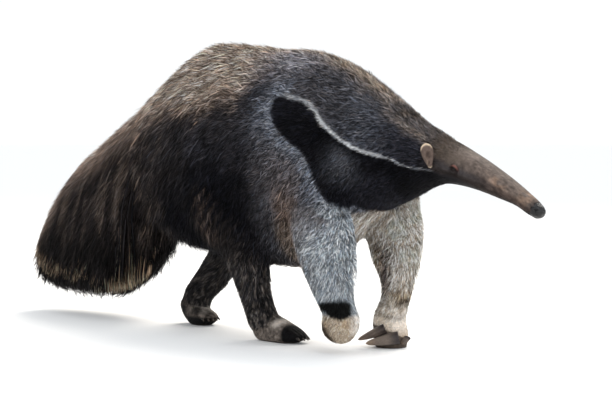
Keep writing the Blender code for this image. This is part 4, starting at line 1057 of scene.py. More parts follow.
LEVEL = body_level()
X, Y, Z = SKIN_CO.T
ON_BODY = (LABEL == IS["body"])
ON_TAIL = (LABEL == IS["tail"])
ON_FORE = (LABEL == IS["fore_R"]) | (LABEL == IS["fore_L"])
ON_HIND = (LABEL == IS["hind_R"]) | (LABEL == IS["hind_L"])
ON_FOOT = (LABEL == IS["foot_R"]) | (LABEL == IS["foot_L"])
AT = (-0.65, -0.50, -0.30, -0.10, 0.05, 0.15, 0.22, 0.28, 0.33, 0.38, 0.45, 0.535)


def along(*values):
    return np.interp(X, AT, values)


def by_level(top, side, low):
    up = smooth(0.35, 0.95, LEVEL)
    down = smooth(-0.45, -0.95, LEVEL)
    return side * (1 - up) * (1 - down) + top * up + low * down


def by_height(*pairs):
    zs, values = zip(*pairs)
    return np.interp(Z, zs, values)


LENGTH = by_level(
    along(0.080, 0.080, 0.082, 0.078, 0.066, 0.052, 0.040, 0.027, 0.012, 0.0075, 0.0060, 0.0042),
    along(0.066, 0.060, 0.056, 0.050, 0.040, 0.032, 0.026, 0.018, 0.0090, 0.0068, 0.0055, 0.0038),
    along(0.080, 0.072, 0.075, 0.075, 0.045, 0.030, 0.022, 0.014, 0.0080, 0.0068, 0.0055, 0.0038),
)
LENGTH = np.where(ON_FORE, by_height((0.02, 0.0070), (0.06, 0.0090), (0.09, 0.0105), (0.14, 0.018), (0.20, 0.026), (0.30, 0.036), (0.42, 0.042)), LENGTH)
LENGTH = np.where(ON_HIND, by_height((0.04, 0.009), (0.08, 0.012), (0.13, 0.022), (0.19, 0.036), (0.30, 0.055), (0.42, 0.058)), LENGTH)
LENGTH = np.where(ON_FOOT, 0.0080, LENGTH)

DENSITY = by_level(
    along(110, 105, 105, 110, 130, 170, 240, 380, 620, 800, 850, 900),
    along(100, 95, 95, 100, 125, 170, 240, 380, 620, 800, 850, 900),
    along(90, 80, 80, 85, 110, 150, 220, 340, 560, 700, 750, 800),
) * 1000.0
DENSITY = np.where(ON_FORE, by_height((0.02, 420e3), (0.07, 420e3), (0.11, 330e3), (0.20, 170e3), (0.35, 130e3)), DENSITY)
DENSITY = np.where(ON_HIND, by_height((0.05, 380e3), (0.10, 280e3), (0.20, 150e3), (0.35, 105e3)), DENSITY)
DENSITY = np.where(ON_FOOT, 380e3, DENSITY)
DENSITY = np.where(ON_TAIL, 0.0, DENSITY)

WIDTH = by_level(
    along(.0024, .0023, .0023, .0022, .0021, .0018, .0016, .0013, .00105, .0009, .00085, .0008),
    along(.0023, .0022, .0022, .0021, .0020, .0018, .0016, .0013, .00105, .0009, .00085, .0008),
    along(.0024, .0024, .0024, .0023, .0020, .0018, .0016, .0013, .00105, .0009, .00085, .0008),
)
WIDTH = np.where(ON_FORE, by_height((0.02, .0011), (0.10, .0013), (0.20, .0018), (0.35, .0020)), WIDTH)
WIDTH = np.where(ON_HIND, by_height((0.05, .0012), (0.12, .0015), (0.20, .0020), (0.35, .0022)), WIDTH)
WIDTH = np.where(ON_FOOT, .0012, WIDTH)

# Where the coat is deep, the hair from the skin is only its filling.
DEEP = smooth(0.007, 0.014, np.where(ON_BODY & (DEPTH <= 0.0), 0.02, DEPTH))
DENSITY, WIDTH = DENSITY * (1 - 0.62 * DEEP), WIDTH * (1 + 0.45 * DEEP)

# Bare places: round the eyes, the nose and the soles.
away = np.sqrt((X - EYE[0]) ** 2 + (np.abs(Y) - EYE[1]) ** 2 + (Z - EYE[2]) ** 2)
DENSITY = DENSITY * smooth(0.0085, 0.0150, away)
LENGTH = LENGTH * (0.45 + 0.55 * smooth(0.010, 0.022, away))
DENSITY = np.where(ahead > -0.002, 0.0, DENSITY)
DENSITY = DENSITY * smooth(0.004, 0.008, Z)
at_hand = np.interp(0.701 * X + 0.712 * Y, (0.080, 0.100, 0.126, 0.142, 0.155, 0.175), (0.0520, 0.0430, 0.0340, 0.0250, 0.0160, 0.0120))
DENSITY = np.where((LABEL == IS["fore_L"]) & (Z < at_hand - 0.002), 0.0, DENSITY)

THIN, BROAD = ((1.0, 1.0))
DEPTH_BODY = np.where(ON_TAIL, DEPTH, np.minimum(DEPTH, np.where(ON_BODY, 0.05, 0.034)))


class Surface:
    """A surface that tufts grow on, with the numbers that steer them at its corners."""

    def __init__(self, co, no, tri, places=None, **fields):
        self.co, self.no, self.tri, self.places = co, no, tri, places
        a, b, c = (co[tri[:, k]] for k in range(3))
        self.area = 0.5 * np.linalg.norm(np.cross(b - a, c - a), axis=1)
        self.fields = fields


def surface_of(obj, **fields):
    """The object's own surface, with its unwrap."""
    mesh = obj.data
    mesh.calc_loop_triangles()
    n = len(mesh.loop_triangles)
    tri, loops = np.empty(n * 3, np.int32), np.empty(n * 3, np.int32)
    mesh.loop_triangles.foreach_get("vertices", tri)
    mesh.loop_triangles.foreach_get("loops", loops)
    uv = np.empty(len(mesh.loops) * 2, np.float32)
    mesh.uv_layers["OFBake"].data.foreach_get("uv", uv)
    places = uv.reshape(-1, 2).astype(float)[loops.reshape(-1, 3)]
    return Surface(corners(mesh), normals(mesh), tri.reshape(-1, 3), places, **fields)


class Roots:
    """Places on a surface where tufts start, with what the surface says there."""

    def __init__(self, surface, tri, bary):
        t = surface.tri[tri]
        w = bary[:, :, None]
        self.n = len(tri)
        self.p = (surface.co[t] * w).sum(1)
        self.no = unit((surface.no[t] * w).sum(1))
        if surface.places is not None:
            self.uv = (surface.places[tri] * w).sum(1)
        self.near = t[np.arange(self.n), bary.argmax(1)]
        for name, field in surface.fields.items():
            if name == "share":
                self.share = field[:, self.near]
            elif field.ndim == 2:
                setattr(self, name, (field[t] * w).sum(1))
            else:
                setattr(self, name, (field[t] * bary).sum(1))
        self.way = laid(self.way, self.no)

    def only(self, mask):
        new = object.__new__(Roots)
        for name, value in self.__dict__.items():
            if name == "n":
                new.n = len(mask) if mask.dtype != bool else int(mask.sum())
            elif name == "share":
                new.share = value[:, mask]
            else:
                setattr(new, name, value[mask])
        return new


def scatter(surface, density):
    """Roots spread evenly over the surface at the wanted number to the square metre."""
    want = density[surface.tri].mean(1) * surface.area
    total = np.cumsum(want)
    n = int(total[-1])
    picks = (np.arange(n) + RNG.random(n)) * (total[-1] / n)
    tri = np.minimum(np.searchsorted(total, picks), len(surface.tri) - 1)
    r1, r2 = np.sqrt(RNG.random(n)), RNG.random(n)
    return Roots(surface, tri, np.stack([1 - r1, r1 * (1 - r2), r1 * r2], 1))


def turned(v, axis, angle):
    """Vectors turned about unit axes."""
    c, s = np.cos(angle)[:, None], np.sin(angle)[:, None]
    return v * c + np.cross(axis, v) * s + axis * (axis * v).sum(1, keepdims=True) * (1 - c)


def cells(points, size):
    """A number for the small, irregular cell of the coat that each point lies in."""
    warp = np.stack([lattice(points, size * 1.7, seed) for seed in (81, 83, 89)], 1) - 0.5
    cell = np.floor((points + 3.0 + warp * size * 1.8) / size).astype(np.int64)
    key = cell[:, 0] * 73856093 ^ cell[:, 1] * 19349663 ^ cell[:, 2] * 83492791
    return (key ^ (key >> 13)) & 0x3FFFFF


def clumped(lines, cell, size, pull, power=1.4):
    """Draw the tufts' tips together towards the first tuft of each cell."""
    _, first, back = np.unique(cell, return_index=True, return_inverse=True)
    lead = first[back.ravel()]
    steps = lines.shape[1]
    t = np.linspace(0, 1, steps) ** power
    aim = lines[lead] + (lines[:, :1] - lines[lead, :1]) * 0.25
    near = np.linalg.norm(lines[lead, 0] - lines[:, 0], axis=1) < size * 1.8
    k = (pull * near)[:, None, None] * t[None, :, None]
    return lines + (aim - lines) * k


def kept_in(lines, room=1.04):
    """Shorten the tufts that would pass out through the outline."""
    scale = np.ones(len(lines))
    for i, (root, tip) in enumerate(zip(lines[:, 0], lines[:, -1])):
        way = tip - root
        size = float(np.linalg.norm(way))
        if size < 1e-5:
            continue
        hit = OUTER.ray_cast(Vector(root), Vector(way / size), size)
        if hit[0] is not None:
            scale[i] = max(hit[3] / size, 0.25)
    shrink = np.minimum(1.0, scale * (room + 0.10 * RNG.random(len(lines))))
    return lines[:, :1] + (lines - lines[:, :1]) * shrink[:, None, None]


COAT_PIECES = []
MOST = 186000      # triangles to a piece


def ribbons(name, lines, widths, facing, uv, colour, look, slot):
    """Thin tapering tufts along the lines, as one mesh or, if they are many, more."""
    per = 2 * (lines.shape[1] - 2) + 1
    share = -(-len(lines) * per // MOST)
    if share < 2:
        return ribbon_mesh(name, lines, widths, facing, uv, colour, look, slot)
    order = np.argsort(lines[:, 0, 0], kind="stable")
    for i, part in enumerate(np.array_split(order, share)):
        ribbon_mesh(name + "_" + str(i + 1), lines[part], widths[part], facing[part], uv[part], colour[part], look, slot)


def ribbon_mesh(name, lines, widths, facing, uv, colour, look, slot):
    n, steps = lines.shape[:2]
    t = np.linspace(0, 1, steps)
    profile = np.interp(t, (0.0, 0.30, 0.70, 1.0), (0.75, 1.0, 0.72, 0.0))
    way = np.gradient(lines, axis=1)
    side = np.cross(way, facing[:, None, :])
    side = unit(side) * widths[:, None, None] * 0.5 * profile[None, :, None]
    per = 2 * (steps - 1) + 1
    points = np.empty((n, per, 3), np.float32)
    points[:, 0:per - 1:2] = lines[:, :-1] - side[:, :-1]
    points[:, 1:per - 1:2] = lines[:, :-1] + side[:, :-1]
    points[:, per - 1] = lines[:, -1]
    points[:, :, 2] = np.maximum(points[:, :, 2], 0.0006)
    quads = steps - 2
    loops_per = quads * 4 + 3
    corner = np.empty((n, loops_per), np.int64)
    base = np.arange(n) * per
    for k in range(quads):
        corner[:, 4 * k: 4 * k + 4] = base[:, None] + np.array((2 * k, 2 * k + 1, 2 * k + 3, 2 * k + 2))
    corner[:, 4 * quads:] = base[:, None] + np.array((2 * quads, 2 * quads + 1, per - 1))
    starts_one = np.array([4 * k for k in range(quads)] + [4 * quads])
    starts = (np.arange(n)[:, None] * loops_per + starts_one[None]).ravel()
    mesh = bpy.data.meshes.new(name)
    mesh.vertices.add(n * per)
    mesh.vertices.foreach_set("co", points.ravel())
    mesh.loops.add(n * loops_per)
    mesh.loops.foreach_set("vertex_index", corner.ravel().astype(np.int32))
    mesh.polygons.add(len(starts))
    mesh.polygons.foreach_set("loop_start", starts.astype(np.int32))
    mesh.update(calc_edges=True)
    smooth_shade(mesh)
    # The tuft's patch of the unwrap: across and along, 0.003 wide.
    patch = np.empty((per, 2))
    patch[0:per - 1:2, 0], patch[1:per - 1:2, 0], patch[per - 1, 0] = -0.5, 0.5, 0.0
    patch[0:per - 1:2, 1] = patch[1:per - 1:2, 1] = t[:-1] - 0.5
    patch[per - 1, 1] = 0.5
    place = uv[:, None, :] + patch[None] * 0.003
    flat = place.reshape(-1, 2)[corner.ravel()]
    layer = mesh.uv_layers.new(name="OFBake")
    layer.data.foreach_set("uv", flat.astype(np.float32).ravel())
    rows = np.empty((n, per, 3), np.float32)
    rows[:, 0:per - 1:2] = colour[:, :-1]
    rows[:, 1:per - 1:2] = colour[:, :-1]
    rows[:, per - 1] = colour[:, -1]
    obj = link(bpy.data.objects.new(name, mesh))
    paint(obj, rows.reshape(-1, 3))
    dress(obj, look)
    COAT_PIECES.append((obj, slot))
    return obj


def drawn(cell):
    """One random draw to each cell of the coat."""
    return RNG.standard_normal(0x400000)[cell]


def hair_colour(lines, roots, cell, band=0.50, gain=1.9, root_dark=0.45, each=1.0, shared=1.0):
    """Colours along each tuft: the markings where it lies, with the difference from
    lock to lock and tuft to tuft, a pale band before the tip on about half of them,
    and darker at the root."""
    steps = lines.shape[1]
    t = np.linspace(0, 1, steps)
    middle = lines[:, steps // 2] if steps > 2 else lines.mean(1)
    aside = 0.0012 + 0.010 * smooth(-0.09, -0.15, middle[:, 0]) * smooth(0.24, 0.34, middle[:, 2])
    middle = middle + RNG.standard_normal(middle.shape) * aside[:, None]
    low, spread = markings(middle, roots.share)
    high, _ = markings(lines[:, -1] * 0.6 + middle * 0.4, roots.share)
    force = np.clip(spread * gain, 0.0, 1.0)
    odds = np.clip(0.34 + shared * 0.30 * drawn(cell), 0.03, 0.92)
    pale = RNG.random(roots.n) < odds
    level = np.where(pale, 1 + 1.70 * force, 1 - 0.62 * force) * np.exp(each * 0.40 * force * np.clip(RNG.standard_normal(roots.n), -2, 2))
    level *= np.exp(0.30 * shared * force * np.clip(drawn(cell), -2, 2))
    warm = 1 + 0.07 * RNG.standard_normal((roots.n, 1)) * np.array((1.0, 0.1, -0.9))
    k = np.clip((t - 0.35) / 0.6, 0, 1)[None, :, None]
    colour = low[:, None] * (1 - k) + high[:, None] * k
    colour = colour * (level[:, None] * warm)[:, None, :]
    shade = (root_dark + (1 - root_dark) * np.clip(t / 0.55, 0, 1))[None, :, None]
    lift = np.where(pale, band, -0.35 * band) * np.clip(spread / 0.5, 0, 1.4)
    tip = 1 + lift[:, None, None] * smooth(0.40, 0.72, t)[None, :, None]
    return np.clip(colour * shade * tip, 0.0012, 0.85)


def lying(roots, steps, cell, size, pull, wander=0.22, roll=0.9, droop=0.0):
    """Tufts that lie back over the skin and rise to the outline."""
    n = roots.n
    swing = (lattice(roots.p, 0.030, 41) - 0.5) * 2.2 * wander + RNG.standard_normal(n) * wander * 0.7
    way = turned(roots.way, roots.no, swing)
    length = roots.length * (0.72 + 0.42 * RNG.random(n)) * (0.85 + 0.3 * lattice(roots.p, 0.022, 43))
    depth = roots.depth * (0.55 + 0.50 * RNG.random(n) ** 0.7)
    rise = np.arcsin(np.clip(depth / length, 0.06, 0.92))
    first = np.minimum(rise * 1.5, 1.35)
    lines = np.empty((n, steps, 3))
    lines[:, 0] = roots.p - roots.no * 0.0010
    at = lines[:, 0].copy()
    for k in range(1, steps):
        t = (k - 0.5) / (steps - 1)
        angle = first * (1 - 0.66 * t)
        step = way * np.cos(angle)[:, None] + roots.no * np.sin(angle)[:, None]
        step[:, 2] -= droop * t
        at = at + unit(step) * (length / (steps - 1))[:, None]
        lines[:, k] = at
    lines = clumped(lines, cell, size, pull * (0.4 + 0.6 * RNG.random(n)))
    lines = kept_in(lines)
    angle = RNG.uniform(-roll, roll, n)
    facing = turned(roots.no, unit(way), angle)
    return lines, facing


BODY_SURFACE = surface_of(
    skin, way=WAY, share=SHARE, length=LENGTH, width=WIDTH, depth=DEPTH_BODY, level=LEVEL, deep=DEEP
)
everything = scatter(BODY_SURFACE, DENSITY * THIN)
lab = LABEL[everything.near]
x, y = everything.p[:, 0], everything.p[:, 1]
body = lab == IS["body"]
right = y < 0
GROUPS = (
    ("coat_face", body & (x > 0.300), 2, 0.0040, 0.35, 0.22, "coat_snout"),
    ("filling_neck", body & (x <= 0.300) & (x > 0.150), 2, 0.008, 0.40, 0.22, "coat_dark"),
    ("filling_shoulder", body & (x <= 0.150) & (x > -0.190), 2, 0.010, 0.45, 0.26, "coat_grey"),
    ("filling_rump", body & (x <= -0.190), 2, 0.011, 0.45, 0.26, "coat_grey"),
    ("hair_foreleg_R", lab == IS["fore_R"], 2, 0.006, 0.45, 0.26, "coat_pale"),
    ("hair_foreleg_L", lab == IS["fore_L"], 2, 0.006, 0.45, 0.26, "coat_pale"),
    ("hair_hindleg_R", (lab == IS["hind_R"]) | (lab == IS["foot_R"]), 2, 0.007, 0.45, 0.26, "coat_black"),
    ("hair_hindleg_L", (lab == IS["hind_L"]) | (lab == IS["foot_L"]), 2, 0.007, 0.45, 0.26, "coat_black"),
)
for name, mask, steps, size, pull, wander, slot in GROUPS:
    roots = everything.only(mask)
    cell = cells(roots.p, size)
    lines, facing = lying(roots, steps, cell, size, pull, wander=wander, droop=0.10)
    colour = hair_colour(lines, roots, cells(roots.p, 0.0036), root_dark=0.45 if steps > 2 else 0.72)
    # Filling hair is painted darker where the coat is deep: painted shade under the cover hair.
    colour *= (1 - 0.35 * roots.deep)[:, None, None]
    ribbons(name, lines, roots.width * BROAD * (0.75 + 0.5 * RNG.random(roots.n)), facing, roots.uv, colour, COAT, slot)


# The cover: hair that comes up out of the coat's depth and lies along the outline.
SKIN_TREE = BVHTree.FromPolygons([tuple(p) for p in SKIN_CO], BODY_SURFACE.tri.tolist())


def nearest_skin(points):
    """The unwrap's place of the skin beside each point, and how far below it lies."""
    tri, foot, gap = np.empty(len(points), np.int64), np.empty((len(points), 3)), np.empty(len(points))
    for i, p in enumerate(points):
        where, _, tri[i], gap[i] = SKIN_TREE.find_nearest(Vector(p))
        foot[i] = where
    a, b, c = (SKIN_CO[BODY_SURFACE.tri[tri, k]] for k in range(3))
    u, v, w = b - a, c - a, foot - a
    uu, uv, vv = (u * u).sum(1), (u * v).sum(1), (v * v).sum(1)
    wu, wv = (w * u).sum(1), (w * v).sum(1)
    scale = np.maximum(uu * vv - uv * uv, 1e-18)
    s, t = (vv * wu - uv * wv) / scale, (uu * wv - uv * wu) / scale
    bary = np.clip(np.stack([1 - s - t, s, t], 1), 0, 1)
    bary /= bary.sum(1, keepdims=True)
    return (BODY_SURFACE.places[tri] * bary[:, :, None]).sum(1), gap


OUT_SHARE, OUT_ROWS = regions(OUT_CO)
OUT_WAY = laid(lie(OUT_CO, OUT_SHARE, OUT_ROWS), OUT_NO)
OUT_LABEL = OUT_SHARE.argmax(0)
_, OUT_GAP = nearest_skin(OUT_CO)
OX, OY, OZ = OUT_CO.T
row = FORMS[0].rows[OUT_ROWS[0]]
stand = ((OUT_CO - row[:, :3]) * np.array([f[0] for f in FORMS[0].frames])[OUT_ROWS[0]]).sum(1)
OUT_LEVEL = np.clip(stand / np.where(stand >= 0, row[:, 3], row[:, 4]), -1.3, 1.3) / 1.2


def outside(top, side, low):
    top, side, low = (np.interp(OX, AT[:9], values) for values in (top, side, low))
    up, down = smooth(0.35, 0.95, OUT_LEVEL), smooth(-0.45, -0.95, OUT_LEVEL)
    return side * (1 - up) * (1 - down) + top * up + low * down


def outside_by_height(*pairs):
    zs, values = zip(*pairs)
    return np.interp(OZ, zs, values)


out_tail = OUT_LABEL == IS["tail"]
out_fore = (OUT_LABEL == IS["fore_R"]) | (OUT_LABEL == IS["fore_L"])
out_hind = (OUT_LABEL == IS["hind_R"]) | (OUT_LABEL == IS["hind_L"])
out_foot = (OUT_LABEL == IS["foot_R"]) | (OUT_LABEL == IS["foot_L"])
COVER_LENGTH = outside(
    (0.056, 0.054, 0.046, 0.036, 0.030, 0.025, 0.020, 0.015, 0.010),
    (0.064, 0.060, 0.038, 0.028, 0.024, 0.020, 0.017, 0.014, 0.010),
    (0.060, 0.056, 0.052, 0.048, 0.034, 0.024, 0.018, 0.014, 0.010),
)
back_edge = smooth(0.1, -0.9, (OX - np.interp(OZ, (0.10, 0.145, 0.20, 0.265, 0.34), (0.088, 0.087, 0.078, 0.064, 0.048))) / 0.06)
COVER_LENGTH = np.where(out_fore, outside_by_height((0.03, .008), (0.07, .009), (0.10, .010), (0.14, .012), (0.20, .013), (0.30, .017), (0.42, .024)) * (1 + 0.5 * back_edge), COVER_LENGTH)
COVER_LENGTH = np.where(out_hind, outside_by_height((0.08, .013), (0.13, .020), (0.19, .028), (0.30, .038), (0.42, .040)), COVER_LENGTH)
edges = np.minimum(from_line(OX, OZ, STRIPE), from_line(OX, OZ, EDGE))
COVER_LENGTH = COVER_LENGTH * (1 - 0.40 * np.exp(-(edges / 0.014) ** 2) * (OX > -0.09))
COVER_DENSITY = outside(
    (105e3, 110e3, 135e3, 170e3, 185e3, 205e3, 240e3, 300e3, 380e3),
    (105e3, 110e3, 150e3, 185e3, 205e3, 225e3, 260e3, 310e3, 380e3),
    (80e3, 85e3, 100e3, 110e3, 150e3, 200e3, 240e3, 300e3, 380e3),
)
COVER_DENSITY = np.where(out_fore, outside_by_height((0.08, 480e3), (0.12, 460e3), (0.20, 400e3), (0.35, 300e3)), COVER_DENSITY)
COVER_DENSITY = np.where(out_hind, outside_by_height((0.08, 260e3), (0.20, 190e3), (0.35, 150e3)), COVER_DENSITY)
COVER_DENSITY = np.where(out_tail | out_foot, 0.0, COVER_DENSITY) * smooth(0.006, 0.012, OUT_GAP)
COVER_DENSITY = COVER_DENSITY * smooth(0.365, 0.335, OX) * smooth(0.05, 0.08, OZ)
COVER_WIDTH = outside(
    (.0022, .0021, .0020, .0018, .0017, .0015, .0014, .0012, .0010),
    (.0022, .0021, .0018, .0017, .0016, .0015, .0014, .0012, .0010),
    (.0023, .0022, .0021, .0020, .0018, .0016, .0014, .0012, .0010),
)
COVER_WIDTH = np.where(out_fore, outside_by_height((0.08, .0010), (0.20, .0012), (0.35, .0014)), COVER_WIDTH)
COVER_WIDTH = np.where(out_hind, outside_by_height((0.08, .0013), (0.20, .0017), (0.35, .0018)), COVER_WIDTH)
OUTLINE = Surface(
    OUT_CO, OUT_NO, OUT_TRI, way=OUT_WAY, share=OUT_SHARE, length=COVER_LENGTH, width=COVER_WIDTH, level=OUT_LEVEL
)


def covering(roots, steps, cell, size, pull, wander, stray, reach, sunk=1.0):
    """Tufts that start below the outline and lie along it; a few stand off it."""
    n = roots.n
    by_lock, turn_lock = drawn(cell), drawn(cell)
    swing = (lattice(roots.p, 0.035, 41) - 0.5) * 1.6 * wander + wander * (0.55 * turn_lock + 0.55 * RNG.standard_normal(n))
    way = turned(roots.way, roots.no, np.clip(swing, -1.3, 1.3))
    # The long hair behind the thigh hangs free.
    free = smooth(-0.30, -0.38, roots.p[:, 0]) * smooth(0.52, 0.42, roots.p[:, 2]) * 0.8
    hang = np.array((-0.26, 0.0, -1.0)) + 0.14 * RNG.standard_normal((n, 3))
    way = np.where((roots.no[:, 2] > -0.5)[:, None], unit(way * (1 - free)[:, None] + hang * free[:, None]), way)
    length = roots.length * (0.70 + 0.55 * RNG.random(n)) * (0.85 + 0.3 * lattice(roots.p, 0.022, 43))
    length = length * (1 + 0.10 * np.clip(by_lock, -2, 2))
    sink = sunk * np.minimum(0.65 * roots.gap, 0.015) * (0.5 + 0.7 * RNG.random(n))
    high = length * 0.045 * np.clip(by_lock, -1.6, 1.6) + 0.0007 * RNG.standard_normal(n)
    off = (RNG.random(n) < stray + 0.15 * free) * reach * (1 + free) * RNG.random(n) ** 1.4
    t = np.linspace(0, 1, steps)
    lines = (
        roots.p[:, None]
        + way[:, None] * (length[:, None] * (t[None] - 0.42))[:, :, None]
        + roots.no[:, None] * (
            -sink[:, None] * ((1 - t[None]) ** 2.2) + high[:, None] * smooth(0.0, 0.5, t)[None] + off[:, None] * t[None] ** 1.6 - 0.0030
        )[:, :, None]
    )
    lines = clumped(lines, cell, size, pull * (0.35 + 0.65 * RNG.random(n)))
    facing = turned(roots.no, unit(way), RNG.uniform(-0.95, 0.95, n))
    return lines, facing


def fuller(roots, name):
    """The fore legs' hair stands thicker on their front and inner sides."""
    if "foreleg" not in name:
        return roots.p
    ahead = np.clip(roots.no @ np.array((0.701, 0.712, 0.0)), 0, 1) ** 1.5
    push = (0.0075 if name.endswith("R") else 0.0048) * ahead * smooth(0.075, 0.11, roots.p[:, 2]) * smooth(0.31, 0.27, roots.p[:, 2])
    return roots.p + roots.no * push[:, None]


covers = scatter(OUTLINE, COVER_DENSITY * 0.62 * THIN)
covers.uv, covers.gap = nearest_skin(covers.p)
lab = OUT_LABEL[covers.near]
x, y = covers.p[:, 0], covers.p[:, 1]
body, right = lab == IS["body"], y < 0
leg = {tag: (lab == IS["fore_" + tag]) for tag in "RL"}
thigh = (lab == IS["hind_R"]) | (lab == IS["hind_L"])
for name, mask, steps, size, pull, wander, stray, reach, slot in (
    ("coat_neck", body & (x > 0.150), 3, 0.0050, 0.40, 0.45, 0.24, 0.0050, "coat_dark"),
    ("coat_shoulder_R", body & (x <= 0.150) & (x > -0.190) & right, 3, 0.0052, 0.45, 0.55, 0.22, 0.0070, "coat_grey"),
    ("coat_shoulder_L", body & (x <= 0.150) & (x > -0.190) & ~right, 3, 0.0052, 0.45, 0.55, 0.22, 0.0070, "coat_grey"),
    ("coat_rump_R", body & (x <= -0.190) & right, 3, 0.0070, 0.50, 0.42, 0.24, 0.0110, "coat_grey"),
    ("coat_rump_L", body & (x <= -0.190) & ~right, 3, 0.0070, 0.50, 0.42, 0.24, 0.0110, "coat_grey"),
    ("coat_foreleg_R", leg["R"], 3, 0.0042, 0.40, 0.60, 0.20, 0.0050, "coat_pale"),
    ("coat_foreleg_L", leg["L"], 3, 0.0042, 0.40, 0.75, 0.24, 0.0060, "coat_cream"),
    ("coat_thighs", thigh, 3, 0.0060, 0.45, 0.34, 0.16, 0.0060, "coat_black"),
):
    roots = covers.only(mask)
    roots.p = fuller(roots, name)
    lines, facing = covering(roots, steps, cells(roots.p, size), size, pull, wander, stray, reach)
    colour = hair_colour(lines, roots, cells(roots.p, 0.0040), root_dark=0.36)
    ribbons(name, lines, roots.width * BROAD * (0.70 + 0.6 * RNG.random(roots.n)), facing, roots.uv, colour, COAT, slot)

# The finest hairs, over the cover.
FINE_DENSITY = np.clip(COVER_DENSITY * (3.3 + 1.3 * smooth(-0.15, -0.25, OX)), 0, 900e3) * smooth(-1.15, -0.75, OUT_LEVEL)
fines = scatter(OUTLINE, FINE_DENSITY * THIN)
fines.uv, fines.gap = nearest_skin(fines.p)
lab = OUT_LABEL[fines.near]
x, y = fines.p[:, 0], fines.p[:, 1]
body, right = lab == IS["body"], y < 0
for name, mask, long, wander, stray, reach, slot in (
    ("fine_neck", body & (x > 0.150), 0.62, 0.62, 0.30, 0.0060, "coat_dark"),
    ("fine_shoulder_R", body & (x <= 0.150) & (x > -0.190) & right, 0.56, 0.75, 0.28, 0.0080, "coat_grey"),
    ("fine_shoulder_L", body & (x <= 0.150) & (x > -0.190) & ~right, 0.56, 0.75, 0.28, 0.0080, "coat_grey"),
    ("fine_rump_R", body & (x <= -0.190) & right, 0.42, 0.66, 0.30, 0.0110, "coat_grey"),
    ("fine_rump_L", body & (x <= -0.190) & ~right, 0.42, 0.66, 0.30, 0.0110, "coat_grey"),
    ("fine_foreleg_R", lab == IS["fore_R"], 0.85, 0.60, 0.24, 0.0050, "coat_pale"),
    ("fine_foreleg_L", lab == IS["fore_L"], 0.85, 0.80, 0.28, 0.0060, "coat_cream"),
    ("fine_thighs", (lab == IS["hind_R"]) | (lab == IS["hind_L"]), 0.70, 0.42, 0.20, 0.0070, "coat_black"),
):
    roots = fines.only(mask)
    roots.p = fuller(roots, name)
    roots.length = roots.length * long
    lines, facing = covering(roots, 2, cells(roots.p, 0.0046), 0.0046, 0.35, wander, stray, reach, 0.4)
    colour = hair_colour(lines, roots, cells(roots.p, 0.0034), root_dark=0.66, gain=2.3)
    ribbons(name, lines, roots.width * 0.54 * BROAD * (0.70 + 0.6 * RNG.random(roots.n)), facing, roots.uv, colour, COAT, slot)


# Tail: long strands from its core to the fringe, under a cover that hangs on the outline.
FRINGE = np.array((
    (-1.135, 0.150), (-1.104, 0.112), (-1.077, 0.094), (-1.050, 0.088), (-1.023, 0.094), (-0.996, 0.084), (-0.969, 0.080),
    (-0.943, 0.083), (-0.917, 0.092), (-0.895, 0.094), (-0.885, 0.060), (-0.859, 0.051), (-0.816, 0.058), (-0.765, 0.066),
    (-0.718, 0.078), (-0.670, 0.096), (-0.648, 0.120), (-0.625, 0.160), (-0.600, 0.192), (-0.575, 0.226), (-0.540, 0.225),
    (-0.477, 0.230),
))
# The rear edge of the tail, as (z, x).
REAR = np.array((
    (0.100, -1.113), (0.125, -1.127), (0.157, -1.127), (0.178, -1.114), (0.200, -1.104), (0.221, -1.094), (0.243, -1.078),
    (0.264, -1.071), (0.286, -1.054), (0.307, -1.032), (0.330, -1.008), (0.353, -0.974), (0.375, -0.950), (0.396, -0.927),
    (0.420, -0.896),
))
SLANT = 0.26


def to_fringe(base):
    """The straight way down from each point to the fringe."""
    drop = np.full(len(base), 0.25)
    for _ in range(4):
        end = base[:, 0] + 1.016 * base[:, 1] - SLANT * drop
        drop = base[:, 2] - np.interp(end, FRINGE[:, 0], FRINGE[:, 1])
    return drop


def in_rear(lines):
    """Hold the hair inside the rear edge; a few tips pass it."""
    over = np.interp(lines[:, :, 2], REAR[:, 0], REAR[:, 1]) - lines[:, :, 0] - 1.016 * lines[:, :, 1]
    lines[:, :, 0] += np.clip(over, 0, 0.06) * RNG.uniform(0.80, 1.10, (len(lines), 1))
    return lines


def in_fringe(lines):
    """Hold the hair above the fringe's edge; a few tips pass it."""
    edge = np.interp(lines[:, :, 0] + 1.016 * lines[:, :, 1], FRINGE[:, 0], FRINGE[:, 1])
    under = edge - lines[:, :, 2] + RNG.uniform(-0.003, 0.013, (len(lines), 1))
    lines[:, :, 2] += np.clip(under, 0, 0.08)
    return lines


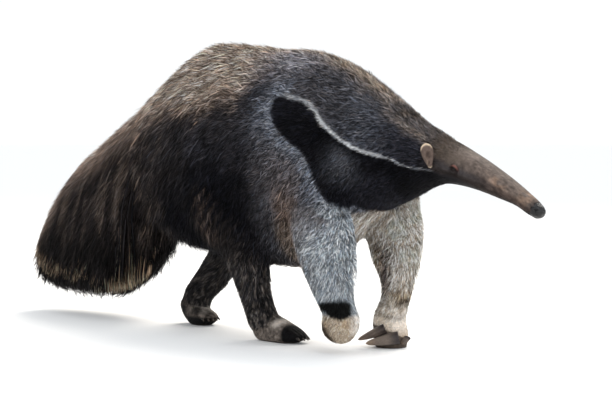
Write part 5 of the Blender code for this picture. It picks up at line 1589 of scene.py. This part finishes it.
def tail_tones(lines, roots, t, cell, tan_share):
    """Tail hair: the markings where it lies, streaked from strand to strand, and tan
    in the last centimetres above the fringe's edge."""
    n = roots.n
    pale = RNG.random(n) < np.clip(0.34 + 0.34 * drawn(cell), 0.02, 0.95)
    level = np.where(pale, 2.7, 0.50) * np.exp(0.35 * np.clip(RNG.standard_normal(n), -2, 2))
    warm = 1 + 0.08 * RNG.standard_normal((n, 1)) * np.array((1.0, 0.1, -0.9))
    colour = np.empty((n, len(t), 3))
    for k in range(len(t)):
        colour[:, k] = markings(lines[:, k], roots.share)[0]
    colour *= (level[:, None] * warm)[:, None]
    edge = np.interp(lines[:, :, 0] + 1.016 * lines[:, :, 1], FRINGE[:, 0], FRINGE[:, 1])
    begin = (0.014 + 0.034 * RNG.random(n))[:, None]
    tan = smooth(0.0, -0.012, lines[:, :, 2] - edge - begin) * (RNG.random(n) < tan_share)[:, None]
    tips = TONES["tail_tip"] * np.exp(0.40 * np.clip(RNG.standard_normal(n), -2, 1.5))[:, None, None]
    colour = colour + (tips - colour) * tan[:, :, None]
    shade = (0.45 + 0.55 * np.clip(t / 0.35, 0, 1))[None, :, None]
    return np.clip(colour * shade, 0.0012, 0.85)


def tail_strands():
    density = np.where(ON_TAIL | (ON_BODY & (X < -0.585)), 1.0, 0.0) * 0.85e5 * THIN
    roots = scatter(BODY_SURFACE, density)
    n = roots.n
    out = roots.depth.copy()
    missing = (roots.no[:, 2] < -0.45) | (out <= 0) | (out > 0.11)
    out = np.where(missing, 0.012, out)
    out = out * (0.15 + 0.80 * RNG.random(n) ** 0.6)
    hang = np.array((-SLANT, 0.0, -1.0)) + np.zeros((n, 3))
    hang[:, 0] += (lattice(roots.p, 0.05, 51) - 0.5) * 0.16 + RNG.standard_normal(n) * 0.04
    hang[:, 1] += RNG.standard_normal(n) * 0.04
    base = roots.p + roots.no * out[:, None]
    reach = np.where(RNG.random(n) < 0.72, 0.945 + 0.085 * RNG.random(n), 0.60 + 0.35 * RNG.random(n))
    drop = np.clip(to_fringe(base), 0.03, 0.50) * reach
    t = np.array((0.0, 0.16, 0.50, 0.90, 1.0))
    spread = 1 - np.exp(-t * 8.0)
    fall = t**1.15
    lines = (
        roots.p[:, None]
        + (roots.no * out[:, None])[:, None] * spread[None, :, None]
        + (hang * drop[:, None])[:, None] * fall[None, :, None]
    )
    wave = np.sin(t * 5.0)[None, :] * (lattice(roots.p, 0.018, 57) - 0.5)[:, None] * 0.010
    lines[:, :, 1] += wave
    lines[:, :, 0] += wave * 0.5
    # The strands draw in to the middle at the bottom, where the outline narrows.
    narrow = np.interp(lines[:, :, 2], (0.05, 0.12, 0.22), (0.55, 0.80, 1.0))
    lines[:, :, 1] *= narrow
    low = lines[:, -1].copy()
    low[:, 2] = 0.0
    lines = in_fringe(in_rear(clumped(lines, cells(low, 0.0060), 0.30, 0.55 * RNG.random(n), 3.0)))
    colour = tail_tones(lines, roots, t, cells(low, 0.0045), 0.52)
    flat = roots.no.copy()
    flat[:, 2] *= 0.3
    upright = np.array((0.0, 0.0, 1.0)) + np.zeros((n, 3))
    facing = turned(unit(flat + np.array((0, 1e-4, 0))), upright, RNG.uniform(-0.9, 0.9, n))
    width = 0.0020 * BROAD * (0.7 + 0.6 * RNG.random(n))
    ribbons("strands_tail", lines, width, facing, roots.uv, colour, COAT, "coat_black")


def tail_cover():
    hanging = laid(np.array((-SLANT, 0.0, -1.0)) + np.zeros_like(OUT_CO), OUT_NO)
    on = smooth(-0.50, -0.60, OX) * out_tail + smooth(-0.585, -0.62, OX) * (1 - out_tail)
    density = np.clip(on, 0, 1) * 1.50e5 * smooth(-0.62, -0.30, OUT_NO[:, 2])
    surface = Surface(OUT_CO, OUT_NO, OUT_TRI, way=hanging, share=OUT_SHARE, level=OUT_LEVEL)
    roots = scatter(surface, density * THIN)
    roots = roots.only(to_fringe(roots.p) > 0.006)
    roots.uv, roots.gap = nearest_skin(roots.p)
    n = roots.n
    size = 0.0095
    cell = cells(roots.p * np.array((1.0, 1.0, 0.45)), size)
    by_lock, turn_lock = drawn(cell), drawn(cell)
    up = smooth(0.35, 0.85, roots.no[:, 2])
    swing = (lattice(roots.p, 0.05, 51) - 0.5) * 0.45 + 0.13 * turn_lock + (0.12 + 0.30 * up) * RNG.standard_normal(n)
    way = turned(roots.way, roots.no, swing)
    length = (0.052 * (1 - up) + 0.032 * up) * (0.65 + 0.65 * RNG.random(n)) * (1 + 0.12 * np.clip(by_lock, -2, 2))
    room = to_fringe(roots.p)
    ends = length * 0.62 > room * 0.97
    length = np.where(ends, np.maximum(room, 0.012) * (0.95 + 0.09 * RNG.random(n)) / 0.62, length)
    sink = np.minimum(0.6 * roots.gap, 0.020) * (0.5 + 0.7 * RNG.random(n))
    high = length * 0.030 * np.clip(by_lock, -1.6, 1.6) + 0.0008 * RNG.standard_normal(n)
    off = (RNG.random(n) < 0.24) * 0.012 * RNG.random(n) ** 1.4
    t = np.linspace(0, 1, 3)
    lines = (
        roots.p[:, None]
        + way[:, None] * (length[:, None] * (t[None] - 0.38))[:, :, None]
        + roots.no[:, None] * (
            -sink[:, None] * ((1 - t[None]) ** 2.2) + high[:, None] * smooth(0.0, 0.5, t)[None] + off[:, None] * t[None] ** 1.6 - 0.0010
        )[:, :, None]
    )
    lines = in_fringe(in_rear(clumped(lines, cell, size * 2.0, 0.55 * (0.35 + 0.65 * RNG.random(n)))))
    streak = cells(roots.p * np.array((1.0, 1.0, 0.40)), 0.0042)
    colour = tail_tones(lines, roots, t, streak, 0.52)
    facing = turned(roots.no, unit(way), RNG.uniform(-0.95, 0.95, n))
    width = 0.0013 * BROAD * (0.7 + 0.6 * RNG.random(n))
    ribbons("coat_tail", lines, width, facing, roots.uv, colour, COAT, "coat_black")


def tail_fine():
    """The finest hairs of the tail, loose over its cover."""
    hanging = laid(np.array((-SLANT, 0.0, -1.0)) + np.zeros_like(OUT_CO), OUT_NO)
    on = smooth(-0.50, -0.60, OX) * out_tail + smooth(-0.585, -0.62, OX) * (1 - out_tail)
    density = np.clip(on, 0, 1) * 3.4e5 * smooth(-0.62, -0.30, OUT_NO[:, 2])
    surface = Surface(OUT_CO, OUT_NO, OUT_TRI, way=hanging, share=OUT_SHARE, level=OUT_LEVEL)
    roots = scatter(surface, density * THIN)
    roots = roots.only(to_fringe(roots.p) > 0.012)
    roots.uv, _ = nearest_skin(roots.p)
    n = roots.n
    up = smooth(0.35, 0.85, roots.no[:, 2])
    way = turned(roots.way, roots.no, (0.22 + 0.35 * up) * RNG.standard_normal(n))
    length = np.minimum(0.026 * (0.6 + 0.8 * RNG.random(n)), to_fringe(roots.p) * 1.3)
    off = 0.0008 + (RNG.random(n) < 0.30) * 0.010 * RNG.random(n) ** 1.4
    t = np.array((-0.42, 0.58))
    lines = roots.p[:, None] + way[:, None] * (length[:, None] * t[None])[:, :, None]
    lines += roots.no[:, None] * np.stack([-0.0020 + np.zeros(n), off], 1)[:, :, None]
    lines = in_fringe(in_rear(lines))
    streak = cells(roots.p * np.array((1.0, 1.0, 0.40)), 0.0038)
    colour = tail_tones(lines, roots, np.array((0.3, 1.0)), streak, 0.55)
    facing = turned(roots.no, unit(way), RNG.uniform(-0.95, 0.95, n))
    ribbons("fine_tail", lines, 0.0011 * BROAD * (0.7 + 0.6 * RNG.random(n)), facing, roots.uv, colour, COAT, "coat_black")


tail_strands()
tail_cover()
tail_fine()


# ------------------------------------------------------------------- ears
# The right ear stands up; the left one is laid back.
EAR_PLACES = {
    "R": ((0.3208, -0.0665, 0.4238), (-0.06, -0.26, 1.0), (0.66, -0.75, 0.05)),
    "L": ((0.3040, 0.0690, 0.4160), (-0.85, 0.45, 0.35), (0.45, 0.80, 0.20)),
}
EAR_LENGTH, EAR_WIDTH, EAR_WALL, EAR_NARROW = 0.051, 0.032, 0.0045, 0.68


def ball(name, centre, sizes, turn, narrow):
    bm = bmesh.new()
    bmesh.ops.create_uvsphere(bm, u_segments=40, v_segments=28, radius=1.0)
    for v in bm.verts:
        share = 1.0 - narrow * (0.5 - 0.5 * v.co.z) ** 1.3
        v.co.x *= share
        v.co.y *= share
    bm.transform(Matrix.Translation(centre) @ turn.to_4x4() @ Matrix.Diagonal((*sizes, 1.0)))
    made = bpy.data.meshes.new(name)
    bm.to_mesh(made)
    bm.free()
    return link(bpy.data.objects.new(name, made))


def ear(tag):
    centre, up, out = (Vector(v) for v in EAR_PLACES[tag])
    up = up.normalized()
    out = (out - up * out.dot(up)).normalized()
    across = up.cross(out)
    turn = Matrix((across, out, up)).transposed()
    depth = 0.34 * EAR_WIDTH
    shell = ball("ear_skin_" + tag, centre, (EAR_WIDTH / 2 - 0.0006, depth - 0.0006, EAR_LENGTH / 2 - 0.0006), turn, EAR_NARROW)
    bowl = ball("bowl_" + tag, centre + out * (depth * 0.50),
                (EAR_WIDTH / 2 - EAR_WALL * 0.6, depth * 1.08, EAR_LENGTH / 2 - EAR_WALL * 0.8), turn, EAR_NARROW)
    cut = shell.modifiers.new("hollow", "BOOLEAN")
    cut.operation, cut.solver, cut.object = "DIFFERENCE", "EXACT", bowl
    again = shell.modifiers.new("even", "REMESH")
    again.mode, again.voxel_size = "VOXEL", 0.0009
    soft = shell.modifiers.new("soften", "SMOOTH")
    soft.factor, soft.iterations = 0.5, 4
    shell.data = evaluated(shell)
    shell.modifiers.clear()
    bpy.data.objects.remove(bowl)
    keep_largest(shell)
    co = corners(shell.data)
    d = co - np.array(centre)
    u, v, w = d @ np.array(across), d @ np.array(out), d @ np.array(up)
    # A fold of skin stands in the bowl.
    inner = smooth(-0.004, 0.004, v) * (np.hypot(u / 0.013, w / 0.021) < 1.0)
    fold = np.exp(-((u - 0.25 * w + 0.001) / 0.0020) ** 2) * smooth(0.016, -0.004, w) * smooth(-0.022, -0.014, w)
    hollow = (np.hypot(u / 0.0145, w / 0.023) < 0.92) & (v < 0.006)
    co += np.array(out) * (0.0030 * fold * hollow)[:, None]
    put_corners(shell.data, co)
    smooth_shade(shell.data)
    unwrapped(shell)
    no = normals(shell.data)
    faces_out = no @ np.array(out)
    ring = np.hypot(u / (EAR_WIDTH / 2), w / (EAR_LENGTH / 2))
    cup = (faces_out > 0.15) & (ring < 0.93)
    rim = smooth(0.80, 0.95, ring) * smooth(-0.9, -0.2, faces_out + 0.6)
    colour = np.tile(tone(92, 80, 74) * SHADE, (len(co), 1))
    inner = smooth(0.1, 0.4, faces_out) * smooth(0.93, 0.76, ring)
    colour = mixed(colour, tone(82, 70, 64) * SHADE, inner)
    # Painted shade in the hollows of the ear's bowl: one at its middle and one lower down.
    hollow_shade = smooth(1.0, 0.4, np.hypot((u - 0.001) / 0.0075, (w - 0.004) / 0.011)) * (0.4 + 0.6 * lattice(co, 0.004, 67))
    hollow_shade = hollow_shade + smooth(1.0, 0.4, np.hypot((u + 0.002) / 0.004, (w + 0.012) / 0.006))
    colour = mixed(colour, tone(36, 28, 25) * SHADE, inner * hollow_shade * 0.85)
    colour = mixed(colour, tone(120, 104, 92) * SHADE, fold * hollow * 0.6)
    colour = mixed(colour, tone(196, 180, 160) * SHADE, smooth(0.83, 0.94, ring) * smooth(-0.75, -0.2, faces_out))
    paint(shell, colour)
    dress(shell, SKIN)
    n = len(co)
    length = np.where(cup, 0.0030, 0.0050)
    surface = surface_of(
        shell, way=np.tile(np.array(up), (n, 1)) + 0.4 * d / 0.02, share=np.tile(np.eye(len(NAMES))[0][:, None], (1, n)),
        length=length, width=np.full(n, 0.00065 * (1.0)),
        depth=np.full(n, 0.0008) + 0.0006 * rim, level=np.zeros(n), shade=colour,
        thick=(1.9e6 * (0.15 + 0.85 * smooth(0.76, 0.92, ring))) * 1.0,
    )
    roots = scatter(surface, surface.fields["thick"])
    lines, facing = ear_hair(roots, centre)
    level = np.exp(0.22 * np.clip(RNG.standard_normal(roots.n), -2, 2))
    colour = np.clip(roots.shade * level[:, None], 0.002, 0.9)[:, None] * np.array((0.7, 1.0, 1.1))[None, :, None]
    ribbons("coat_ear_" + tag, lines, roots.width, facing, roots.uv, colour, COAT, "ear")
    return shell


def ear_hair(roots, centre):
    n = roots.n
    way = turned(roots.way, roots.no, RNG.standard_normal(n) * 0.25)
    length = roots.length * (0.7 + 0.5 * RNG.random(n))
    lines = np.empty((n, 3, 3))
    lines[:, 0] = roots.p - roots.no * 0.0004
    lift = roots.depth * (0.5 + 0.6 * RNG.random(n))
    lines[:, 1] = roots.p + way * (length * 0.5)[:, None] + roots.no * (lift * 0.7)[:, None]
    lines[:, 2] = roots.p + way * length[:, None] + roots.no * lift[:, None]
    return lines, turned(roots.no, unit(way), RNG.uniform(-0.9, 0.9, n))


EARS = {tag: ear(tag) for tag in "RL"}


# ------------------------------------------------------------------- eyes
def eye(side, tag):
    bm = bmesh.new()
    bmesh.ops.create_uvsphere(bm, u_segments=48, v_segments=32, radius=EYE_RADIUS)
    made = bpy.data.meshes.new("eye_ball_" + tag)
    bm.to_mesh(made)
    bm.free()
    obj = link(bpy.data.objects.new("eye_ball_" + tag, made))
    co = corners(made)
    look = EYE_OUT * (1, side, 1)
    off = np.arccos(np.clip(unit(co) @ look, -1, 1))
    co *= (1 + 0.05 * smooth(0.75, 0.35, off))[:, None]
    put_corners(made, co + EYE * (1, side, 1))
    smooth_shade(made)
    colour = mixed(np.tile(tone(54, 38, 34), (len(co), 1)), tone(62, 38, 24), smooth(0.95, 0.80, off))
    colour = mixed(colour, tone(18, 13, 12), smooth(0.62, 0.50, off))
    colour = mixed(colour, tone(22, 16, 14), np.exp(-((off - 0.92) / 0.06) ** 2))
    paint(obj, colour)
    dress(obj, EYE_LOOK)
    return obj


EYES = {tag: eye(side, tag) for side, tag in ((-1, "R"), (1, "L"))}

# ------------------------------------------------------------------ claws
CLAWS = {
    "claw_hand_L_1": (((0.0945, 0.0530, 0.0430), (0.0735, 0.0345, 0.0305), (0.0480, 0.0155, 0.0180)), 0.0138, 0.0032),
    "claw_hand_L_2": (((0.1235, 0.0655, 0.0255), (0.0990, 0.0425, 0.0190), (0.0640, 0.0235, 0.0105)), 0.0172, 0.0044),
    "claw_hand_L_3": (((0.1300, 0.0860, 0.0240), (0.1310, 0.0800, 0.0170), (0.1230, 0.0740, 0.0105)), 0.0085, 0.0046),
    "claw_hand_R_1": (((0.076, -0.064, 0.069), (0.054, -0.056, 0.061), (0.036, -0.060, 0.047)), 0.0090, 0.0022),
    "claw_hand_R_2": (((0.086, -0.066, 0.044), (0.064, -0.062, 0.034), (0.044, -0.070, 0.034)), 0.0115, 0.0026),
    "claw_hand_R_3": (((0.113, -0.070, 0.050), (0.103, -0.056, 0.042), (0.089, -0.050, 0.034)), 0.0065, 0.0020),
}
HIND_CLAW_SPREAD = (-0.021, -0.011, 0.0, 0.011, 0.021)
for stations, side, tag in ((HINDFOOT_RIGHT, -1, "R"), (HINDFOOT_LEFT, 1, "L")):
    before, end = stations[-2][0], stations[-1][0]
    fore = Vector((end[0] - before[0], side * (end[1] - before[1]), 0.0)).normalized()
    across = Vector((-fore.y, fore.x, 0.0))
    middle = Vector((end[0], side * end[1], end[2]))
    for i, shift in enumerate(HIND_CLAW_SPREAD):
        back = 0.010 * (shift / 0.022) ** 2
        root_at = middle + across * shift - fore * back
        tip_at = root_at + fore * 0.016 + Vector((0, 0, -0.007)) + across * shift * 0.12
        bend = (tuple(root_at), tuple((root_at + tip_at) / 2 + Vector((0, 0, 0.004))), tuple(tip_at))
        CLAWS["claw_foot_" + tag + "_" + str(i + 1)] = (bend, 0.0042, 0.0014)


def claw(node, bend, root, tip):
    """A bent claw: narrower than deep, flat beneath, with fine growth rings."""
    a, b, c = (np.array(p, float) for p in bend)
    steps, around = 40, 24
    points, shade = [], []
    hand = "hand" in node
    plane = np.cross(b - a, c - b)
    plane = unit(plane) if np.linalg.norm(plane) > 1e-9 else np.array((0.0, 1.0, 0.0))
    for i in range(steps + 1):
        t = i / steps
        where = a * (1 - t) ** 2 + b * 2 * t * (1 - t) + c * t**2
        way = unit((b - a) * (1 - t) + (c - b) * t)
        back = unit(np.cross(way, plane))
        if back[2] < 0:
            back = -back
        side = np.cross(way, back)
        size = root + (tip - root) * t ** (1.9 if hand else 1.5)
        size *= math.sqrt(max(1 - max(0.0, (t - 0.86) / 0.14) ** 2, 0.02))
        rings = 1 + 0.012 * math.sin(t * 70) + 0.008 * math.sin(t * 163 + 1)
        for k in range(around):
            angle = 2 * math.pi * k / around
            h, s = math.cos(angle), math.sin(angle)
            keel = 0.96 if h > 0 else 0.80
            if h < -0.4 and hand:
                keel *= 1 - 0.22 * math.exp(-(s / 0.35) ** 2)
            points.append(where + back * h * size * keel * rings + side * s * size * (0.80 if hand else 0.86) * rings)
            shade.append((t, h))
    points += [a, c]
    shade += [(0.0, 0.0), (1.0, 0.0)]
    faces = []
    for i in range(steps):
        for k in range(around):
            j = (k + 1) % around
            faces.append((i * around + k, i * around + j, (i + 1) * around + j, (i + 1) * around + k))
    low, high, base = (steps + 1) * around, (steps + 1) * around + 1, steps * around
    for k in range(around):
        j = (k + 1) % around
        faces.append((j, k, low))
        faces.append((base + k, base + j, high))
    obj = mesh_object(node.replace("claw_", "horn_"), np.array(points), faces)
    bm = bmesh.new()
    bm.from_mesh(obj.data)
    bmesh.ops.recalc_face_normals(bm, faces=bm.faces)
    bm.to_mesh(obj.data)
    bm.free()
    t, h = np.array(shade).T
    streak = lattice(np.stack([h * 0.02, t * 0.004, t * 0 + 0.01 * (root * 1000)], 1), 0.003, 61)
    if hand:
        colour = mixed(np.tile(tone(118, 106, 97), (len(t), 1)), tone(56, 50, 50), smooth(0.42, 0.05, t))
        colour = mixed(colour, tone(138, 116, 96), smooth(0.60, 0.98, t) * 0.80)
        colour = mixed(colour, tone(58, 48, 44), smooth(0.1, -0.6, h) * 0.6)
    else:
        colour = mixed(np.tile(tone(44, 40, 38), (len(t), 1)), tone(86, 74, 64), smooth(0.55, 1.0, t) * 0.7)
    paint(obj, colour * (0.75 + 0.5 * streak)[:, None])
    dress(obj, HORN)
    smooth_shade(obj.data)
    return obj


HORNS = {node: claw(node, *shape) for node, shape in CLAWS.items()}

# --------------------------------------------------------- riding the frame
MOVE = Matrix.Translation(Vector(SHIFT))
flesh = [
    "head", "neck", "snout", "nose", "trunk", "tail_root", "tail_middle", "tail_end",
    *(part + "_" + tag for part in ("upper_arm", "forearm", "hand", "thigh", "shank", "hind_foot") for tag in "RL"),
]
for obj, slot in [(skin, "coat_grey"), *COAT_PIECES]:
    obj.data.transform(MOVE)
    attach(obj, "root")
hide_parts(*flesh)
for tag in ("R", "L"):
    for obj, node, slot in ((EARS[tag], "ear_" + tag, "ear"), (EYES[tag], "eye_" + tag, "eye")):
        obj.data.transform(MOVE)
        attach(obj, "root")
        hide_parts(node)
for node, obj in HORNS.items():
    obj.data.transform(MOVE)
    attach(obj, "root")
    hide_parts(node)

# ------------------------------------------------------------------- stage
floor = mesh_object("floor", [(60 * math.cos(a), 60 * math.sin(a), 0.0) for a in np.arange(64) * math.pi / 32],
                    [tuple(range(64))])
FLOOR, tree, shader = principled("pale_floor", 0.9, Specular_IOR_Level=0.1)
shader.inputs["Base Color"].default_value = (0.96, 0.96, 0.96, 1.0)
dress(floor, FLOOR)

world = bpy.data.worlds.new("studio")
bpy.context.scene.world = world
world.use_nodes = True
world.node_tree.nodes["Background"].inputs["Color"].default_value = (0.965, 0.985, 1.0, 1.0)
world.node_tree.nodes["Background"].inputs["Strength"].default_value = 1.06


def soft_light(name, where, aim, size, power, colour):
    data = bpy.data.lights.new(name, "AREA")
    data.shape = "DISK"
    data.size, data.energy, data.color = size, power, colour
    lamp = link(bpy.data.objects.new(name, data))
    lamp.location = where
    lamp.rotation_euler = (Vector(aim) - Vector(where)).to_track_quat("-Z", "Y").to_euler()
    return lamp


soft_light("key", (-0.6, 2.2, 3.6), (0.0, 0.0, 0.40), 3.2, 175.0, (1.0, 0.93, 0.84))
soft_light("side", (3.2, -1.2, 2.2), (0.1, 0.0, 0.30), 2.4, 45.0, (0.92, 0.96, 1.0))

# ------------------------------------------------------------------ camera
# The view solved from the photograph, in the sketch's frame: 46 degrees round from
# the animal's right side towards its face, 3.6 m off, 0.47 m up.
FOCAL, WIDE, TALL = 1590.0, 612.0, 408.0
GROUND_ROW, COLUMN, HEIGHT, AWAY, ROUND = 341.0, 290.0, 0.47, 3.6, math.radians(46.0)
target = np.array((-0.15, 0.0, 0.0))
back = np.array((math.sin(ROUND), -math.cos(ROUND), 0.0))
eye_at = target + back * AWAY + np.array((0.0, 0.0, HEIGHT))
horizon = GROUND_ROW - FOCAL / AWAY * HEIGHT
pitch = math.atan((TALL / 2 - horizon) / FOCAL)
yaw = math.atan((COLUMN - WIDE / 2) / FOCAL)
way = np.array((
    -back[0] * math.cos(yaw) + back[1] * math.sin(yaw),
    -back[0] * math.sin(yaw) - back[1] * math.cos(yaw),
    0.0,
)) * math.cos(pitch) + np.array((0.0, 0.0, -math.sin(pitch)))
right_way = unit(np.cross(way, (0.0, 0.0, 1.0)))
up_way = np.cross(right_way, way)
lens = bpy.data.cameras.new("camera")
lens.sensor_width = 36.0
lens.lens = FOCAL / WIDE * 36.0
lens.clip_end = 200.0
camera = link(bpy.data.objects.new("camera", lens))
camera.matrix_world = Matrix((
    (right_way[0], up_way[0], -way[0], eye_at[0] + SHIFT[0]),
    (right_way[1], up_way[1], -way[1], eye_at[1] + SHIFT[1]),
    (right_way[2], up_way[2], -way[2], eye_at[2]),
    (0.0, 0.0, 0.0, 1.0),
))
bpy.context.scene.camera = camera
bpy.context.scene.view_settings.view_transform = "Standard"
